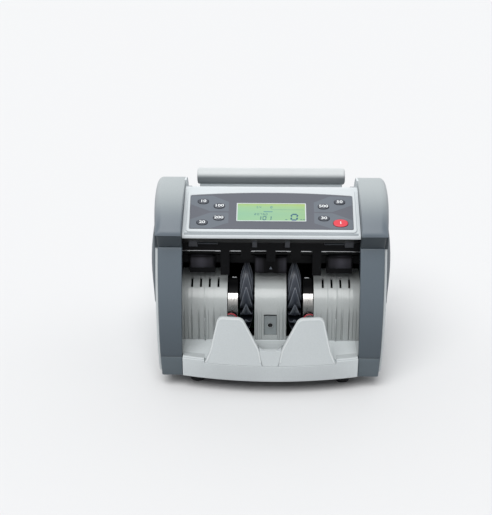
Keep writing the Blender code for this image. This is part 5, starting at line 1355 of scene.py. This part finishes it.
def hood_liner(side):
    """Pale inner face of a hood behind the cover."""
    outline = [(-0.0080, 0.1700), (0.0470, 0.1700)]
    for i in range(20, -1, -1):
        y = 0.0470 * i / 20
        fall = HOOD_DROP * (1 - math.cos(min(y / 0.050, 1) * math.pi)) / 2
        outline.append((y, HOOD_TOP - 0.0002 - fall))
    outline.append((-0.0080, HOOD_TOP - 0.0006))
    low, high = sorted((side * (INNER - 0.0009), side * (INNER + 0.0014)))
    mesh = along_x("liner", outline, low, high)
    put(side_name("hood_liner", side), mesh, silver, "casing", bevel=0.0003, segments=2)


def roll():
    steps = []
    straight, radius, corner = 0.0857, 0.0098, 0.0028
    for i in range(13):
        a = math.pi / 2 * (1 - i / 12)
        steps.append((-(straight + corner * math.sin(a)), radius - corner * (1 - math.cos(a))))
    steps += [(-x, r) for x, r in reversed(steps)]
    mesh = turned("roll", steps, (0, 0.086, 0.1843), count=72)
    put("hopper_roll", mesh, roll_shaded_pale, "casing", ["hopper_back_support"], angle=60)
    profile = rounded([(0.0820, 0.1599), (0.0900, 0.1599), (0.0900, 0.1820), (0.0820, 0.1820)], 0.0008, 3)
    stem = along_x("stem", profile, -0.0855, 0.0855)
    put("hopper_roll_stem", stem, silver, "casing", bevel=0.0005)


def screw(name, place, axis, radius):
    """Domed screw head with a cross recess."""
    rings = [(0.0, radius), (0.0004, radius), (0.0008, radius * 0.8), (0.001, radius * 0.35)]
    sign = 1 if axis[1] > 0 else -1
    steps = [(place[1] + sign * (d - 0.0004), r) for d, r in rings]
    mesh = turned(name, steps, place, axis="y", count=24)
    put(name, mesh, screw_dark, "casing", angle=50)
    bars = []
    for turn in (0, math.pi / 2):
        outline = []
        for u, v in ((-0.6, -0.12), (0.6, -0.12), (0.6, 0.12), (-0.6, 0.12)):
            u, v = u * radius, v * radius
            outline.append((place[0] + u * math.cos(turn) - v * math.sin(turn),
                            place[2] + u * math.sin(turn) + v * math.cos(turn)))
        bars.append(loft("bar", [[(x, place[1] + sign * d, z) for x, z in outline]
                                 for d in (0.0002, 0.0007)]))
    put(name + "_cross", merge(name, bars), black, "casing")


def vent_shade_sheet():
    """Dark sheet behind each field of vents in the rear cover, as painted shade: it blocks light through the
    vents.
    """
    for side in (-1, 1):
        columns, rows = 26, 26
        outer, inner = [], []
        for i in range(rows + 1):
            z = mix(0.0680, 0.1200, i / rows)
            ripple = [0.0001 * math.sin(i * 1.7 + j * 2.1) for j in range(columns + 1)]
            xs = [side * mix(0.0160, 0.0680, j / columns) for j in range(columns + 1)]
            outer.append([(x, 0.1160 + r, z) for x, r in zip(xs, ripple)])
            inner.append([(x, 0.1155 + r, z) for x, r in zip(xs, ripple)])
        mask = [[True] * columns for _ in range(rows)]
        put(side_name("vent_shade_sheet", side), masked_sheet("shade_sheet_mesh", outer, inner, mask), black, "casing")


def rear_boots():
    """Insulating plates inside the rear cover, behind the switch and the inlet."""
    for node in ("power_switch", "power_inlet"):
        low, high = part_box(node)
        outline = rounded([(low[0] - 0.005, low[2] - 0.005), (high[0] + 0.005, low[2] - 0.005),
                           (high[0] + 0.005, high[2] + 0.005), (low[0] - 0.005, high[2] + 0.005)],
                          0.002, 4)
        mesh = loft("boot", [[(x, y, z) for x, z in outline] for y in (low[1] - 0.0025, low[1] - 0.001)])
        put(node + "_boot", mesh, black, "casing", bevel=0.0002, segments=2)


def rear_details():
    for i, (x, z) in enumerate(((-0.112, 0.030), (0.112, 0.030), (-0.112, 0.150), (0.112, 0.150),
                                (0.0, 0.030), (0.0, 0.150))):
        screw(f"rear_screw_{i}", (x, BACK_Y - 0.0008, z), (0, 1, 0), 0.0028)


# Frame, light, camera and floor

def dress_cad():
    """Procedural materials and soft edges for the CAD nodes that stay in view."""
    finishes = {
        "base_pan": (dark_steel, 0.0004), "side_frame_left": (dark_steel, 0.0002),
        "side_frame_right": (dark_steel, 0.0002), "foot_front_left": (rubber, 0.0004),
        "foot_front_right": (rubber, 0.0004), "foot_rear_left": (rubber, 0.0004),
        "foot_rear_right": (rubber, 0.0004), "impeller_shaft": (screw_dark, 0.0002),
        "feed_shaft": (screw_dark, 0.0002), "transport_shaft": (screw_dark, 0.0002),
        "feed_roller_left": (rubber, 0.0004), "feed_roller_right": (rubber, 0.0004),
        "main_motor": (board_dark, 0.0006), "motor_pulley": (screw_dark, 0.0003),
        "drive_belt": (rubber, 0.0), "upper_note_guide": (black, 0.0005),
        "lower_note_guide": (black, 0.0005), "guide_rod": (chrome, 0.0),
        "control_board": (circuit, 0.0001), "hopper_plate": (pale, 0.0004),
        "hopper_guide_left": (pale, 0.0005), "hopper_guide_right": (pale, 0.0005),
        "rear_cover": (rear_shaded_pale, 0.0003), "power_inlet": (black, 0.0003),
        "power_switch": (black, 0.0004), "gap_knob": (black, 0.0002),
        "main_board": (circuit, 0.0002), "transformer": (dark_steel, 0.0004),
    }
    for name, (material, width) in finishes.items():
        thing = nodes[name]
        thing.data.materials.clear()
        thing.data.materials.append(material)
        if width:
            soften(thing, width, 2, 40)


def light_path_factor(tree, outputs):
    path = tree.nodes.new("ShaderNodeLightPath")
    result = path.outputs[outputs[0]]
    for name in outputs[1:]:
        node = tree.nodes.new("ShaderNodeMath")
        node.operation = "MAXIMUM"
        tree.links.new(result, node.inputs[0])
        tree.links.new(path.outputs[name], node.inputs[1])
        result = node.outputs[0]
    return result


def studio():
    mesh = bpy.data.meshes.new("floor")
    shape = bmesh.new()
    bmesh.ops.create_grid(shape, x_segments=2, y_segments=2, size=9.0)
    shape.to_mesh(mesh)
    shape.free()
    floor = bpy.data.objects.new("floor", mesh)
    bpy.context.scene.collection.objects.link(floor)
    material = bpy.data.materials.new("floor_paper")
    material.use_nodes = True
    tree = material.node_tree
    tree.nodes.clear()
    output = tree.nodes.new("ShaderNodeOutputMaterial")
    seen = tree.nodes.new("ShaderNodeBsdfDiffuse")
    seen.inputs["Color"].default_value = (0.715, 0.717, 0.724, 1)
    other = tree.nodes.new("ShaderNodeBsdfDiffuse")
    other.inputs["Color"].default_value = (0.60, 0.60, 0.61, 1)
    blend = tree.nodes.new("ShaderNodeMixShader")
    tree.links.new(light_path_factor(tree, ("Is Camera Ray", "Is Transmission Ray")),
                   blend.inputs[0])
    tree.links.new(other.outputs[0], blend.inputs[1])
    tree.links.new(seen.outputs[0], blend.inputs[2])
    tree.links.new(blend.outputs[0], output.inputs[0])
    mesh.materials.append(material)

    world = bpy.data.worlds.new("studio")
    bpy.context.scene.world = world
    world.use_nodes = True
    tree = world.node_tree
    tree.nodes.clear()
    output = tree.nodes.new("ShaderNodeOutputWorld")
    back = tree.nodes.new("ShaderNodeBackground")
    where = tree.nodes.new("ShaderNodeTexCoord")
    split = tree.nodes.new("ShaderNodeSeparateXYZ")
    tree.links.new(where.outputs["Generated"], split.inputs[0])
    rear = tree.nodes.new("ShaderNodeMapRange")
    rear.inputs["From Min"].default_value = -0.6
    rear.inputs["From Max"].default_value = 0.9
    rear.inputs["To Min"].default_value = 0.38
    rear.inputs["To Max"].default_value = 1.20
    tree.links.new(split.outputs["Y"], rear.inputs["Value"])
    tree.links.new(rear.outputs["Result"], back.inputs["Strength"])
    back.inputs["Color"].default_value = (0.97, 0.985, 1.0, 1)
    plain = tree.nodes.new("ShaderNodeBackground")
    plain.inputs["Color"].default_value = (0.90, 0.91, 0.92, 1)
    plain.inputs["Strength"].default_value = 1.0
    blend = tree.nodes.new("ShaderNodeMixShader")
    tree.links.new(light_path_factor(tree, ("Is Camera Ray", "Is Transmission Ray")),
                   blend.inputs[0])
    tree.links.new(back.outputs[0], blend.inputs[1])
    tree.links.new(plain.outputs[0], blend.inputs[2])
    tree.links.new(blend.outputs[0], output.inputs[0])

    sun = bpy.data.lights.new("key_light", "SUN")
    sun.energy = 2.2
    sun.angle = math.radians(50)
    sun.color = (1.0, 0.995, 0.985)
    lamp = bpy.data.objects.new("key_light", sun)
    bpy.context.scene.collection.objects.link(lamp)
    lamp.rotation_euler = Vector((-0.15, -0.50, 0.84)).to_track_quat("Z", "Y").to_euler()

    view = bpy.data.cameras.new("camera")
    view.sensor_width = 36.0
    view.lens = 68.97
    camera = bpy.data.objects.new("camera", view)
    bpy.context.scene.collection.objects.link(camera)
    tilt = math.radians(22)
    ahead = Vector((0, math.cos(tilt), -math.sin(tilt)))
    up = Vector((0, math.sin(tilt), math.cos(tilt)))
    direction = 986.63 * ahead - 19.4 * Vector((1, 0, 0)) + 9.98 * up
    camera.location = (-0.0060, -1.05699, 0.52705)
    camera.rotation_euler = direction.to_track_quat("-Z", "Y").to_euler()
    bpy.context.scene.camera = camera
    bpy.context.scene.view_settings.view_transform = "Standard"


soft_grey = moulded("sensor_grey", "8d9496", 0.45)

for side in (-1, 1):
    hood(side)
    column(side)
    base_corner(side)
    side_parts(side)
    impeller(side)
front_cover()
overlay()
keys()
display()
tray()
stop()
plates()
brackets()
note_guides()
hood_liner(-1)
hood_liner(1)
roll()
rear_details()
rear_boots()
vent_shade_sheet()
dress_cad()
studio()
